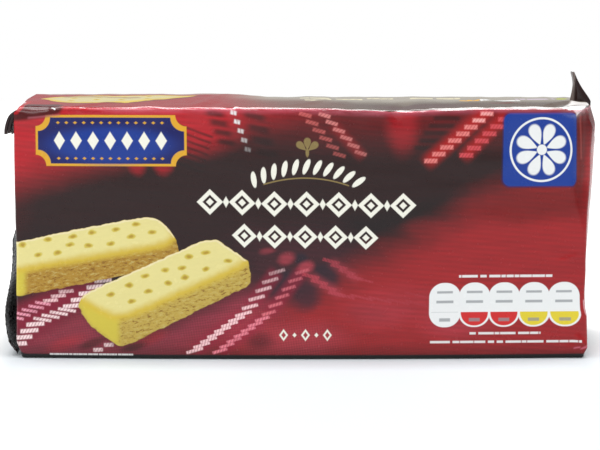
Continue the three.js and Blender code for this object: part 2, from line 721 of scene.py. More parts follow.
@dataclass(frozen=True)
class Glow:
    """A soft cloud of one ink."""

    centre: Pair
    radii: Pair
    ink: Ink
    strength: float = 1.0
    turn: float = 0.0
    core: float = 0.25
    ragged: float = 0.16


@dataclass(frozen=True)
class Sweep:
    """A soft field of one ink on one side of a line."""

    start: Pair
    facing: float
    fade: float
    ink: Ink
    strength: float = 1.0
    ragged: float = 3.0


@dataclass(frozen=True)
class DashLine:
    """A line of thin uneven dashes, where small print would be."""

    left: float
    right: float
    middle: float
    height: float
    ink: Ink
    dash: float = 1.3
    strength: float = 0.9

    def mask(self, place: Place) -> Field:
        """Find where the dashes lie.

        Args:
            place: the place on the sheet.

        Returns:
            The mask, from 0 to the line's strength.
        """
        line = Slab(((self.left + self.right) / 2, self.middle), (self.right - self.left, self.height), 0.1)
        gaps = place.noise((self.dash, 900.0), 0.0, 0.5, self.middle * 3.1).eased(-0.42, -0.22)
        return line.distance(place).inside(0.12) * gaps * self.strength


@dataclass(frozen=True)
class LozengeChain:
    """A row of equal lozenges, solid or hollow."""

    centre: Pair
    units: int
    pitch: float
    size: Pair
    wall: float = 0.0

    def mask(self, place: Place) -> Field:
        """Find where the lozenges lie.

        Args:
            place: the place on the sheet.

        Returns:
            The mask.
        """
        last = (self.units - 1) / 2
        local = place.at((self.centre[0] - last * self.pitch, self.centre[1]))
        across = abs(local.u - local.u.nearest(self.pitch, self.units - 1) * self.pitch)
        reach = across * (2 / self.size[0]) + abs(local.v) * (2 / self.size[1])
        slope = 0.2 * 2 / min(self.size)
        mask = reach.eased(1 + slope, 1 - slope)
        if self.wall:
            inner = 1 - self.wall * 2 * math.hypot(1 / self.size[0], 1 / self.size[1])
            mask = mask * reach.eased(inner - slope, inner + slope)
        return mask


@dataclass(frozen=True)
class LeafFan:
    """Leaves spread at equal steps along an arc or a whole circle, each along its own spoke."""

    centre: Pair
    radius: float
    leaves: int
    step: float
    leaf: Pair
    slant: float = 0.0

    def mask(self, place: Place) -> Field:
        """Find where the leaves lie. The middle one points straight up.

        Args:
            place: the place on the sheet.

        Returns:
            The mask.
        """
        local = place.at(self.centre)
        angle = local.u.math("ARCTAN2", local.u, local.v) * (180 / math.pi)
        last = (self.leaves - 1) / 2
        if self.leaves % 2:
            unit = round(angle / self.step).most(-last).least(last)
        else:
            unit = (round(angle / self.step + 0.5) - 0.5).most(-last).least(last)
        aside = (angle - unit * self.step) * (self.radius * math.pi / 180)
        along = local.length() - self.radius
        lean = aside - along * self.slant
        reach = lean * lean * (4 / self.leaf[0] ** 2) + along * along * (4 / self.leaf[1] ** 2)
        return reach.eased(1.25, 0.75)


Shape = Union[Disc, Slab, Facet]
Line = Union[TwillBand, Rungs, Stripe, DashLine]


class Print:
    """The colour of one panel, built up by laying inks over each other."""

    def __init__(self, place: Place, ground: Ink) -> None:
        """Start with a ground.

        Args:
            place: the place on the sheet.
            ground: the ink of the ground.
        """
        self.place = place
        self.sheet = place.sheet
        self.colour: Colour = ground.linear

    def mix(self, mask: Number, colour: Colour, mode: str = "MIX") -> None:
        """Mix a colour over what is there, where a mask is above 0."""
        settings = {"data_type": "RGBA", "blend_type": mode, "clamp_factor": True}
        self.colour = self.sheet.add("Mix", settings, {0: mask, 6: self.colour, 7: colour}).outputs[2]

    def lay(self, mask: Number, ink: Ink) -> None:
        """Lay one ink where a mask is above 0."""
        self.mix(mask, ink.linear)

    def shade(self, amount: Field) -> None:
        """Lighten or darken what is there by a number round 1."""
        spread = self.sheet.add("CombineColor", values={0: amount, 1: amount, 2: amount})
        self.mix(1.0, spread.outputs[0], "MULTIPLY")

    def stamp(self, shape: Shape, ink: Ink, blur: float = PRINT_BLUR, strength: float = 1.0) -> None:
        """Lay one ink inside a shape's outline."""
        self.lay(shape.distance(self.place).eased(blur, -blur, 0.0, strength), ink)

    def glow(self, glows: Sequence[Glow | Sweep], warp: Field) -> None:
        """Lay soft clouds and sweeps, their edges torn by noise.

        Args:
            glows: the clouds and sweeps, from the lowest to the highest.
            warp: the noise.
        """
        torn = {ragged: warp * ragged for ragged in {glow.ragged for glow in glows}}
        for glow in glows:
            if isinstance(glow, Sweep):
                facing = turned((1.0, 0.0), glow.facing)
                depth = self.place.at(glow.start).dot(facing) + torn[glow.ragged]
                mask = depth.eased(-glow.fade, glow.fade, 0.0, glow.strength)
            else:
                reach = self.place.at(glow.centre, glow.turn, glow.radii).length() + torn[glow.ragged]
                mask = reach.eased(1.0, glow.core, 0.0, glow.strength)
            self.lay(mask, glow.ink)

    def lay_all(self, masks: Iterable[Field], ink: Ink) -> None:
        """Lay one ink where any of several masks is above 0."""
        self.lay(reduce(Field.most, masks), ink)

    def stamp_all(self, shapes: Iterable[Shape], ink: Ink) -> None:
        """Lay one ink inside the outlines of several shapes."""
        distance = reduce(Field.least, (shape.distance(self.place) for shape in shapes))
        self.lay(distance.inside(PRINT_BLUR), ink)

    def rows(self, bands: Sequence[Line], worn: Field | None = None) -> None:
        """Lay bands, ladders and lines, those of one ink at once.

        Args:
            bands: the bands, ladders and lines.
            worn: how much of them is left where they are worn thin.
        """
        for ink in dict.fromkeys(band.ink for band in bands):
            mask = reduce(Field.most, (band.mask(self.place) for band in bands if band.ink == ink))
            self.lay(mask * worn if worn else mask, ink)


@dataclass(frozen=True)
class FingerPicture:
    """A printed picture of one shortbread finger. Every outline runs anticlockwise."""

    outline: tuple[Pair, ...]
    top: tuple[Pair, ...]
    near_end: tuple[Pair, ...]
    holes: tuple[Pair, ...]
    hole: Pair = (1.35, 0.75)
    shadow: Pair = (1.2, -1.4)
    crust: Ink = Inks.CRUMB_TOP
    side: Ink = Inks.CRUMB_SIDE

    def lay(self, print_: Print) -> None:
        """Lay the picture over a print.

        Args:
            print_: the print.
        """
        whole = print_.place
        moved = tuple((u + self.shadow[0], v + self.shadow[1]) for u, v in self.outline)
        print_.stamp(Facet(moved, 3.0), Inks.NIGHT, 2.2, 0.55)
        print_.place = whole.wobbled(0.35, 2.2)
        outline = Facet(self.outline, 1.2).distance(print_.place)
        side = outline.inside(0.18)
        print_.lay(side, self.side)
        crumb = whole.noise((1.9, 0.75), 3.0, 0.75, 5.0, 10)
        print_.lay(side * crumb.eased(0.05, 0.4, 0.0, 0.8), Inks.CRUMB_BROWN)
        print_.lay(side * crumb.eased(-0.05, -0.45, 0.0, 0.6), Inks.CRUMB_DIM)
        if self.near_end:
            end = Facet(self.near_end, 2.0).distance(print_.place).inside(1.2)
            print_.lay(end * side, Inks.CRUMB_END)
        edge = Facet(self.top, 2.2).distance(print_.place)
        print_.lay(edge.eased(2.4, 0.3, 0.0, 0.85) * side, Inks.CRUMB_EDGE)
        print_.lay(edge.eased(0.7, -2.0) * side, self.crust)
        print_.lay(outline.eased(-0.7, -0.2) * side * edge.eased(0.5, -0.3, 0.0, 0.7), Inks.CRUMB_RIM)
        print_.shade(crumb * side * 0.045 + 1.0)
        pits = reduce(Field.least, (print_.place.at(hole, 8, self.hole).length() for hole in self.holes))
        print_.lay(pits.eased(1.2, 0.75, 0.0, 0.9), Inks.HOLE)
        print_.lay(pits.eased(0.85, 0.25, 0.0, 0.7), Inks.HOLE_DEEP)
        print_.place = whole


# -------------------- The film's finish --------------------

@dataclass(frozen=True)
class FilmFinish:
    """Gloss and fine crinkle of the film."""

    roughness: float = 0.26
    specular: float = 0.34
    crinkle: float = 0.05
    bump_strength: float = 0.6
    coat_roughness: float = 0.18
    coat_ior: float = 1.75
    fine_share: float = 0.35
    rough_spread: float = 0.10

    def apply(self, sheet: NodeSheet, colour: Colour, folds: Number = 0.0) -> bpy.types.Material:
        """Finish a material.

        Args:
            sheet: the node sheet that made the colour.
            colour: a colour or the socket that gives it.
            folds: where the film is drawn tight over a fold and shines most.

        Returns:
            The material.
        """
        space = Place.in_space(sheet)
        fine = self._noise(sheet, space, 0.45, 3.0)
        broad = self._noise(sheet, space, 0.09, 2.0)
        height = (fine * self.fine_share + broad) * self.crinkle
        bump = sheet.add("Bump", values={"Strength": self.bump_strength, "Distance": MM, "Height": height})
        rough = fine * self.rough_spread + (self.roughness - self.rough_spread / 2)
        shader = sheet.add("BsdfPrincipled", values={
            "Base Color": colour,
            "Roughness": rough,
            "Specular IOR Level": self.specular,
            "Coat Weight": folds,
            "Coat Roughness": self.coat_roughness,
            "Coat IOR": self.coat_ior,
            "Normal": bump.outputs[0],
        })
        sheet.add("OutputMaterial", values={"Surface": shader.outputs[0]})
        return sheet.owner

    @staticmethod
    def _noise(sheet: NodeSheet, space: Place, scale: float, detail: float) -> Field:
        """Solid noise from 0 to 1."""
        node = sheet.add("TexNoise", values={"Vector": space, "Scale": scale, "Detail": detail})
        return Field(sheet, node.outputs[0])


# -------------------- The printed panels --------------------

@dataclass(frozen=True)
class TightFolds:
    """Where the film is drawn tight: over the top edge of the front, and across its right corner."""

    edge: float
    lift: float
    reach: float = 1.4
    left: float = -55.0
    corner: Pair = (80.0, 75.6)
    corner_radii: Pair = (6.0, 4.4)

    def mask(self, place: Place) -> Field:
        """Find where the folds lie.

        Args:
            place: the place on the sheet.

        Returns:
            The mask.
        """
        patchy = place.noise((8, 3), 2.0, 0.6, 71.0).eased(-0.75, 0.15)
        along = place.u.eased(self.left - 6, self.left + 6) * (place.u.eased(15, 40) * 0.3 + 0.7)
        above = place.v - place.u.eased(*LIFT_SPAN) * self.lift - self.edge
        line = abs(above).eased(self.reach, self.reach * 0.5)
        corner = Disc(self.corner, self.corner_radii).distance(place).inside(0.8)
        return (line * patchy * along * 0.85).most(corner)


class FrontPanel:
    """The printed front: tartan cloth in soft light, two fingers, and plain ornaments."""

    GLOWS = (
        Sweep((-6.5, 17), -127, 5.0, Inks.MAGENTA, 1.0, 2.0),
        Sweep((-62, 28), 101, 3.0, Inks.DUSK, 1.0, 1.0),
        Sweep((-38, 27), 116, 3.0, Inks.DUSK, 1.0, 1.0),
        Glow((-84, 46), (9, 14), Inks.NIGHT_RED, 0.35, 0, 0.2),
        Glow((0, 30), (32, 15), Ink(80, 54, 58), 0.7, 0, 0.2, 0.3),
        Sweep((30.6, 34.5), -62, 8.0, Inks.CLOTH_RED),
        Glow((68, 46), (30, 8), Ink(116, 46, 48), 0.8, 4, 0.3),
        Glow((36, 39.5), (9, 4), Inks.CLOTH_RED, 0.3, 0, 0.2),
        Sweep((0, 66.5), 90, 8.5, Ink(130, 50, 52), 0.6, 2.0),
        Sweep((-70, 55.5), 106, 8.5, Inks.SCARLET, 1.0, 1.5),
        Glow((-29, 70), (17, 13), Inks.SCARLET, 0.9, 0, 0.3, 0.1),
        Glow((29.5, 70), (6.5, 12), Inks.SCARLET, 0.6, 0, 0.2),
        # Painted shade in the crease at the right end.
        Glow((82, 60), (5.0, 18), Ink(104, 46, 46), 0.85, 0, 0.4),
        Glow((46, 11), (15, 7), Inks.ROSE, 0.45, 0, 0.2),
        Glow((19, 14), (8, 4.5), Inks.WINE, 0.45, 0, 0.2),
        Glow((-2, 5), (22, 9), Inks.ROSE, 0.6, 6, 0.2),
        Glow((-17, 10), (10, 8), Inks.ROSE, 0.45, 20, 0.2),
        Glow((-12.0, 5.6), (6.5, 4.2), Ink(100, 46, 54), 0.75, 0, 0.2),
        Glow((26, 16), (18, 9), Inks.ROSE, 0.35, 10, 0.2),
        Glow((-69, 4.5), (9, 2.8), Inks.ROSE_RED, 0.6, 20, 0.2),
        Glow((-44, 6.5), (8, 3.2), Inks.ROSE_RED, 0.8, 22, 0.2),
        Glow((-61, 4.6), (6, 1.8), Inks.NIGHT_RED, 0.7, 22, 0.3),
        Glow((-48.5, 3.6), (5.5, 1.5), Inks.NIGHT_RED, 0.7, 14, 0.3),
        Glow((-5.5, 22.5), (3.0, 7), Inks.SLATE, 0.8, -32, 0.3),
        Glow((1.2, 19.0), (6.8, 6.4), Inks.SLATE, 0.75, -15, 0.3, 0.3),
        Glow((7.9, 25.4), (6.0, 4.2), Inks.SLATE, 0.8, -35, 0.3, 0.3),
        Glow((0.4, 30.2), (2.8, 2.6), Inks.SLATE, 0.8, 0, 0.3),
        Glow((1.6, 27.6), (3.6, 2.6), Inks.ROSE, 0.65, 30, 0.3),
        Glow((-3.9, 30.2), (3.6, 2.6), Inks.ROSE, 0.55, 20, 0.2, 0.3),
        Glow((-9.7, 32.4), (3.4, 1.4), Inks.ROSE, 0.35, 10, 0.2, 0.3),
        Glow((-46.9, 57.2), (3.6, 4.4), Ink(158, 50, 55), 0.8, 12, 0.3, 0.35),
        Glow((-39.4, 57.6), (4.0, 5.0), Ink(158, 50, 55), 0.8, 12, 0.3, 0.35),
    )
    LADDERS = (
        Rungs((-24.3, 71.6), (-21.0, 63.4), 4, 5.2, Inks.NIGHT, 0.75, -9, 1.7, 0.7),
        Rungs((-13.0, 71.4), (-9.5, 61.0), 4, 6.0, Inks.NIGHT, 0.65, -9, 1.9, 0.7),
        Rungs((-34.0, 57.0), (-31.0, 67.0), 7, 13, Inks.NIGHT, 0.6, -20, 0.7, 0.3),
        Rungs((42.0, 71.4), (36.6, 63.0), 5, 7.6, Inks.NIGHT, 0.65, -3, 1.3, 0.4),
        Rungs((53.0, 68.8), (45.8, 61.0), 5, 3.4, Inks.NIGHT, 0.8, -3, 1.4, 0.4),
    )
    GROUNDS = (
        Stripe((54.0, 73.6), (36.4, 58.6), 3.6, Inks.HOT_RED, 0.8, 1.8),
        Stripe((59.0, 72.4), (47.0, 60.0), 3.2, Inks.HOT_RED, 0.7, 1.8),
        Stripe((9.6, 69.4), (18.0, 60.6), 2.6, Inks.CLOTH_RED, 0.6, 1.5),
        Stripe((-30.9, 2.7), (-16.5, 13.6), 4.4, Inks.HALO, 0.5, 1.2),
        Stripe((-14.6, 15.8), (-6.7, 26.3), 4.4, Inks.HALO, 0.5, 1.2),
        Stripe((-23.5, 2.6), (-11.0, 12.2), 4.0, Inks.HALO, 0.5, 1.2),
        Stripe((-9.1, 14.0), (0.6, 26.4), 4.0, Inks.HALO, 0.5, 1.2),
        Stripe((-84.0, 9.0), (-60.0, 24.0), 11.0, Inks.HALO, 0.75, 3.0),
        Stripe((-84.0, 11.6), (-76.4, 15.0), 1.6, Ink(84, 44, 52), 0.5, 0.9),
        Stripe((3.1, 25.0), (12.0, 19.4), 2.6, Inks.ROSE, 0.45, 1.4),
        Stripe((11.0, 19.6), (34.0, 16.9), 2.6, Inks.CLOTH_RED, 0.5, 1.4),
        Stripe((9.0, 29.5), (17.0, 24.2), 2.6, Inks.ROSE, 0.3, 1.4),
        Stripe((16.0, 24.6), (34.0, 19.8), 2.6, Inks.CLOTH_RED, 0.5, 1.4),
    )
    BANDS = (
        TwillBand((-19.0, 72.0), (-14.0, 59.2), 6, 1.8, Inks.WHITE, 1, -9, 1.2, slant=-0.3, fade=(1.1, 0.0)),
        TwillBand((1.5, 72.2), (11.3, 60.9), 6, 3.7, Inks.SALMON, 0.9, -14, fade=(0.8, 0.45)),
        TwillBand((7.0, 72.2), (17.4, 61.6), 6, 3.5, Ink(228, 140, 136), 0.95, -14, fade=(0.9, 0.5)),
        TwillBand((53.5, 72.4), (37.6, 59.2), 8, 3.8, Ink(234, 136, 132), 1.0, -2, 1.3, fade=(1.0, 0.85)),
        TwillBand((53.5, 72.4), (51.2, 70.5), 2, 3.2, Inks.PETAL, 0.8, -2, 0.8),
        TwillBand((58.7, 70.7), (47.8, 60.5), 6, 4.0, Ink(214, 88, 94), 0.9, -2, 1.3),
        TwillBand((-48.3, 60.6), (-46.6, 57.8), 2, 4.2, Inks.PETAL, 0.9, -10),
        TwillBand((-41.4, 63.2), (-39.2, 57.8), 3, 4.2, Inks.PETAL, 0.95, -10),
        TwillBand((-83.3, 12.0), (-75.3, 16.4), 5, 4.6, Ink(238, 158, 176), 0.95, -8, 0.8),
        TwillBand((-73.0, 17.3), (-68.3, 20.0), 3, 4.4, Inks.BLUSH, 0.9, 5, 1.0),
        TwillBand((-82.9, 4.3), (-77.6, 10.2), 4, 5.3, Inks.THREAD, 1.0, 5, 1.2),
        TwillBand((-75.5, 11.6), (-68.2, 14.5), 4, 5.3, Inks.THREAD, 0.95, -8, 0.85),
        TwillBand((-66.8, 15.7), (-57.4, 23.3), 5, 5.0, Inks.THREAD, 1.0, 6, 1.2),
        TwillBand((-59.3, 2.7), (-56.1, 4.2), 2, 2.8, Inks.THREAD, 0.8, 3),
        TwillBand((-30.9, 2.7), (-16.5, 13.6), 8, 5.0, Inks.BLUSH, 1.0, 17, 0.95),
        TwillBand((-14.6, 15.8), (-6.7, 26.3), 5, 4.8, Inks.BLUSH, 0.95, 17, 0.95, fade=(1.0, 0.45)),
        TwillBand((-23.5, 2.6), (-11.0, 12.2), 7, 4.4, Ink(236, 136, 150), 0.95, 17, 0.9),
        TwillBand((-9.1, 14.0), (0.6, 26.4), 6, 4.2, Ink(225, 120, 130), 0.9, 17, 0.9, fade=(1.0, 0.5)),
        TwillBand((3.1, 25.0), (10.7, 19.8), 4, 5.0, Inks.ROSE, 0.8, -14, 1.1, 1.1, -0.9),
        TwillBand((12.6, 19.5), (34.0, 16.9), 5, 7.0, Inks.ROSE, 0.6, -14, 1.1, 1.1, -0.9, fade=(1.0, 0.4)),
        TwillBand((9.0, 29.5), (16.0, 24.8), 4, 5.0, Inks.ROSE, 0.6, -14, 1.1, 1.1, -0.9),
        TwillBand((17.8, 24.0), (34.0, 19.8), 5, 7.0, Inks.ROSE, 0.6, -14, 1.1, 1.1, -0.9, fade=(1.0, 0.4)),
    )
    FINGERS = (
        FingerPicture(
            outline=((-88, 17.4), (-81, 18.6), (-51.8, 24.6), (-34, 29.5), (-35.0, 32.6), (-36.6, 36.8),
                     (-40.6, 41.0), (-45.1, 41.9), (-79.3, 35.2), (-88, 32.9)),
            top=((-88, 25.2), (-81, 26.4), (-39.5, 33.6), (-36.0, 36.6), (-40.0, 42.2), (-45.4, 43.4),
                 (-79.5, 37.2), (-88, 35.0)),
            near_end=((-88, 17), (-80.6, 18.4), (-80.4, 26.8), (-88, 25.4)),
            holes=((-73.5, 35.2), (-65.9, 36.1), (-60.3, 37.3), (-53.3, 38.2), (-47.5, 39.7), (-42.9, 37.4),
                   (-49.0, 36.2), (-54.9, 34.1), (-61.3, 33.5), (-66.8, 33.7), (-70.7, 31.3), (-76.6, 30.7),
                   (-81.4, 33.6)),
            side=Inks.CRUMB_DARK,
        ),
        FingerPicture(
            outline=((-61.2, 9.6), (-53.1, 3.7), (-50.4, 4.2), (-15.0, 22.0), (-14.2, 24.0), (-15.0, 29.2),
                     (-24.0, 35.2), (-27.6, 35.3), (-60.4, 20.6), (-63.9, 18.4), (-65.0, 15.4)),
            top=((-63.6, 17.4), (-54.2, 12.5), (-51.0, 12.8), (-17.6, 27.6), (-14.8, 30.0), (-23.4, 36.4),
                 (-28.2, 36.6), (-60.9, 22.0), (-64.6, 19.4)),
            near_end=((-61.2, 9.6), (-53.1, 3.7), (-53.1, 12.8), (-61.4, 16.9), (-65.0, 17.8), (-65.0, 15.4)),
            holes=((-27.3, 31.6), (-32.2, 30.4), (-20.9, 29.2), (-39.3, 26.5), (-34.3, 27.1), (-27.3, 26.8),
                   (-45.1, 24.7), (-33.5, 24.4), (-38.4, 22.6), (-49.8, 22.0), (-44.3, 20.2), (-55.2, 19.2),
                   (-49.1, 17.2)),
        ),
    )
    SMALL_PRINT = (
        DashLine(46.3, 73.5, 24.9, 0.75, Inks.WHITE),
        DashLine(49.5, 70.4, 7.8, 0.7, Inks.WHITE),
        DashLine(38.1, 81.5, 5.2, 0.7, Inks.WHITE),
        DashLine(-74, -49, 1.35, 0.5, Inks.WHITE, 0.4, 0.75),
    )

    def paint(self, sheet: NodeSheet) -> Colour:
        """Build the print up.

        Args:
            sheet: the node sheet of the front's material.

        Returns:
            The socket that gives its colour.
        """
        place = Place.on_sheet(sheet)
        front = Print(place, Inks.NIGHT)
        cloud = place.noise((16, 11), 3.0, 0.6, 3.0)
        front.glow(self.GLOWS, cloud)
        self._weave(front, place)
        front.rows(self.LADDERS)
        front.rows(self.GROUNDS)
        front.rows(self.BANDS, place.noise((2.6, 1.2), 2.0, 0.6, 61.0).eased(-0.9, 0.1, 0.5))
        for finger in self.FINGERS:
            finger.lay(front)
        self._plaque(front)
        self._badge(front)
        self._titles(front)
        self._capsules(front)
        hem = Slab((10.3, 60.0), (188.6, 117.2), 2.6).distance(place)
        front.lay(hem.eased(-0.3, 0.3), Inks.BLACK)
        front.rows(self.SMALL_PRINT)
        self._worn_edge(front, place)
        return front.colour

    def _worn_edge(self, front: Print, place: Place) -> None:
        """Lay painted shade, painted highlights and glints along the top fold and small creases, and a red corner.

        Args:
            front: the print of the front.
            place: the place on the sheet.
        """
        # Painted shade: the rounded fold at the top left looks dark, so it is laid dark brown.
        dark = Facet(((-86, 69.0), (-76.5, 69.9), (-69.0, 71.4), (-66.0, 76), (-86, 76)), 0.6)
        # Painted highlight: the facet at the top right corner that shines white.
        pale = Facet(((77.6, 76), (80.8, 71.6), (84.5, 76)), 0.3)
        red = Facet(((-86, 71.0), (-82.0, 71.2), (-78.6, 76.0), (-86, 76)), 0.4)
        front.stamp(dark, Inks.UMBER, 0.7, 0.92)
        front.stamp(pale, Ink(236, 226, 226), 0.4, 0.85)
        front.stamp(red, Inks.SCARLET, 0.3, 0.9)
        # Painted highlight: a pink glow just under the top edge, where the gloss shines.
        patchy = place.noise((9, 1.6), 2.0, 0.6, 44.0)
        height = place.v - place.u.eased(*LIFT_SPAN) * 0.9
        painted_edge_glow = height.eased(70.9, 73.0) * place.u.eased(-66.0, -50.0) * patchy.eased(-0.9, 0.4)
        front.lay(painted_edge_glow * 0.5, Ink(226, 118, 136))
        # Painted highlights: a pink line under the dark fold, and pale lines along creases at the right end.
        front.rows((
            Stripe((-78.9, 70.2), (-68.8, 71.1), 0.4, Ink(190, 112, 122), 0.6, 0.4),
            Stripe((82.6, 71.9), (83.0, 58.8), 0.4, Ink(176, 92, 88), 0.6, 0.5),
            Stripe((83.0, 17.5), (83.3, 13.0), 0.6, Ink(236, 196, 200), 0.8, 0.4),
            Stripe((81.5, 2.8), (83.5, 4.0), 0.4, Ink(222, 124, 144), 0.7, 0.4),
            Stripe((79.4, 3.1), (81.2, 3.4), 0.4, Ink(222, 124, 144), 0.6, 0.3),
        ))
        # Painted glints on small crinkles of the top edge.
        painted_glints = (((-70.9, 73.9), 40), ((-70.9, 73.1), -35), ((-62.2, 73.4), 10), ((-61.4, 73.9), 60),
                 ((-18.2, 73.6), 35))
        front.stamp_all((Slab(spot, (1.7, 0.45), 0.1, turn) for spot, turn in painted_glints), Inks.WHITE)

    def _weave(self, front: Print, place: Place) -> None:
        """Lay the cloth's ribs: long streaks at the right, a fine square weave at the lower left, and darken towards
        the bottom.

        Args:
            front: the print of the front.
            place: the place on the sheet.
        """
        streak = place.noise((24, 1.3), 3.0, 0.65, 9.0, 2)
        rib = place.at((0, 0), -6).v.folded(1.5).eased(0.15, 0.6)
        thread = place.at((0, 0), 8)
        square = thread.u.folded(0.75).eased(0.05, 0.3) + thread.v.folded(0.75).eased(0.05, 0.3)
        low = place.dot((0.35, 1.0)).eased(22, 8)
        blotch = place.noise((15, 6), 2.0, 0.5, 33.0, -20)
        for pattern, share in ((streak, 0.21), (blotch, 0.10)):
            front.shade(pattern * share + 1.0)
        front.shade(1.0 - rib * (1.0 - low) * 0.12)
        front.shade(1.10 - square * low * 0.18)
        # Darker towards the bottom edge.
        front.shade(place.v.eased(0.5, 6.5) * 0.45 + 0.57)

    def _plaque(self, front: Print) -> None:
        """Lay a level plaque with notched corners and a row of small diamonds.

        Args:
            front: the print of the front.
        """
        centre = (-54.5, 63.8)
        for ink, size, notch in ((Inks.GOLD, (44.0, 14.6), 3.2), (Inks.NAVY, (42.6, 13.2), 3.9)):
            board = Slab(centre, size, 0.15).distance(front.place)
            folded = front.place.at(centre).vector("ABSOLUTE", (0, 0, 0))
            corner = Disc((size[0] / 2, size[1] / 2), (notch, notch)).distance(folded)
            front.lay(board.most(corner * -1.0).inside(PRINT_BLUR), ink)
        front.stamp(Disc((centre[0], centre[1] - 1.2), (17.5, 5.2)), Inks.BLUE, 1.6, 0.9)
        front.lay(LozengeChain(centre, 7, 4.9, (3.3, 5.2)).mask(front.place), Inks.CREAM)
        dots = (LozengeChain((centre[0], centre[1] + height), 13, 2.5, (1.1, 0.8)) for height in (-5.1, 5.1))
        front.lay_all((chain.mask(front.place) for chain in dots), Inks.GOLD)

    def _badge(self, front: Print) -> None:
        """Lay a square badge with a ring round an eight-leaved rosette.

        Args:
            front: the print of the front.
        """
        centre = (69.65, 61.9)
        front.stamp(Slab(centre, (23.2, 22.0), 2.5), Inks.NAVY, 0.25, 0.6)
        front.stamp(Slab(centre, (22.4, 21.2), 2.2), Inks.BLUE)
        radius = front.place.at(centre).length()
        ring = (radius - 9.1).within(0.3, 0.12)
        leaves = LeafFan(centre, 4.7, 8, 45.0, (3.1, 6.2)).mask(front.place)
        eye = (radius - 1.5).inside(PRINT_BLUR)
        front.lay_all((ring, leaves, eye), Inks.WHITE)

    def _titles(self, front: Print) -> None:
        """Lay the ornaments of the middle: three chains, a spray over an arc, and a small sprig.

        Args:
            front: the print of the front.
        """
        place = front.place
        upper, lower, lowest = (1.9, 46.3), (1.5, 36.7), (1.6, 7.4)
        chains = (
            LozengeChain(upper, 7, 9.3, (7.6, 7.4), 1.15),
            LozengeChain(upper, 7, 9.3, (2.2, 2.2)),
            LozengeChain(upper, 6, 9.3, (1.8, 3.2)),
            LozengeChain(lower, 5, 8.8, (7.2, 7.0), 1.1),
            LozengeChain(lower, 5, 8.8, (2.1, 2.1)),
            LozengeChain(lower, 4, 8.8, (1.7, 3.0)),
            LozengeChain(lowest, 3, 6.4, (2.6, 3.6), 0.5),
            LozengeChain(lowest, 2, 6.4, (1.2, 1.4)),
        )
        spray = LeafFan((1.8, 27.0), 30.2, 11, 6.0, (1.7, 4.4), 0.35)
        front.lay_all((ornament.mask(place) for ornament in (*chains, spray)), Inks.CREAM)
        line = place.at((1.8, 14.0))
        arc = (line.length() - 39.9).within(0.2, 0.1) * line.u.within(12.3, 0.3)
        sprig = LeafFan((2.1, 61.6), 2.2, 3, 48.0, (1.7, 3.6)).mask(place)
        stem = Disc((2.1, 61.3), (0.5, 1.3)).distance(place).inside(PRINT_BLUR)
        front.lay_all((arc, sprig, stem), Inks.OLIVE)

    def _capsules(self, front: Print) -> None:
        """Lay five upright capsules with plain bars, their feet in signal colours.

        Args:
            front: the print of the front.
        """
        place, first, bottom, top, divide = front.place, 42.29, 9.7, 23.0, 14.2
        count, pitch, overlap, rim = 5, 8.68, 0.5, 0.45
        centres = [(first + step * pitch, (top + bottom) / 2) for step in range(count)]
        whole = (pitch + overlap, top - bottom)
        cup = (whole[0] - overlap - 0.7, whole[1] - 2 * rim)
        front.stamp_all((Slab(centre, whole, 4.3) for centre in centres), Inks.WHITE)
        low = place.v.eased(divide + 0.1, divide - 0.1)
        for foot, coloured in ((Inks.SIGNAL_RED, centres[1:3]), (Inks.SIGNAL_YELLOW, centres[3:])):
            cups = reduce(Field.least, (Slab(centre, cup, 3.85).distance(place) for centre in coloured))
            front.lay(cups.inside(PRINT_BLUR) * low, foot)
        front.stamp(Slab((first, divide), (pitch - 0.8, 0.14), 0.05), Inks.PALE_GREY)
        bars = []
        for rise, width, height in ((20.2, 4.6, 0.7), (17.3, 5.0, 0.8), (11.9, 3.2, 1.0)):
            local = place.at((first, rise))
            across = local.u - local.u.nearest(pitch, count - 1) * pitch
            bars.append(across.within(width / 2, 0.15) * local.v.within(height / 2, 0.15, 0.75))
        front.lay_all(bars, Inks.PANEL_GREY)


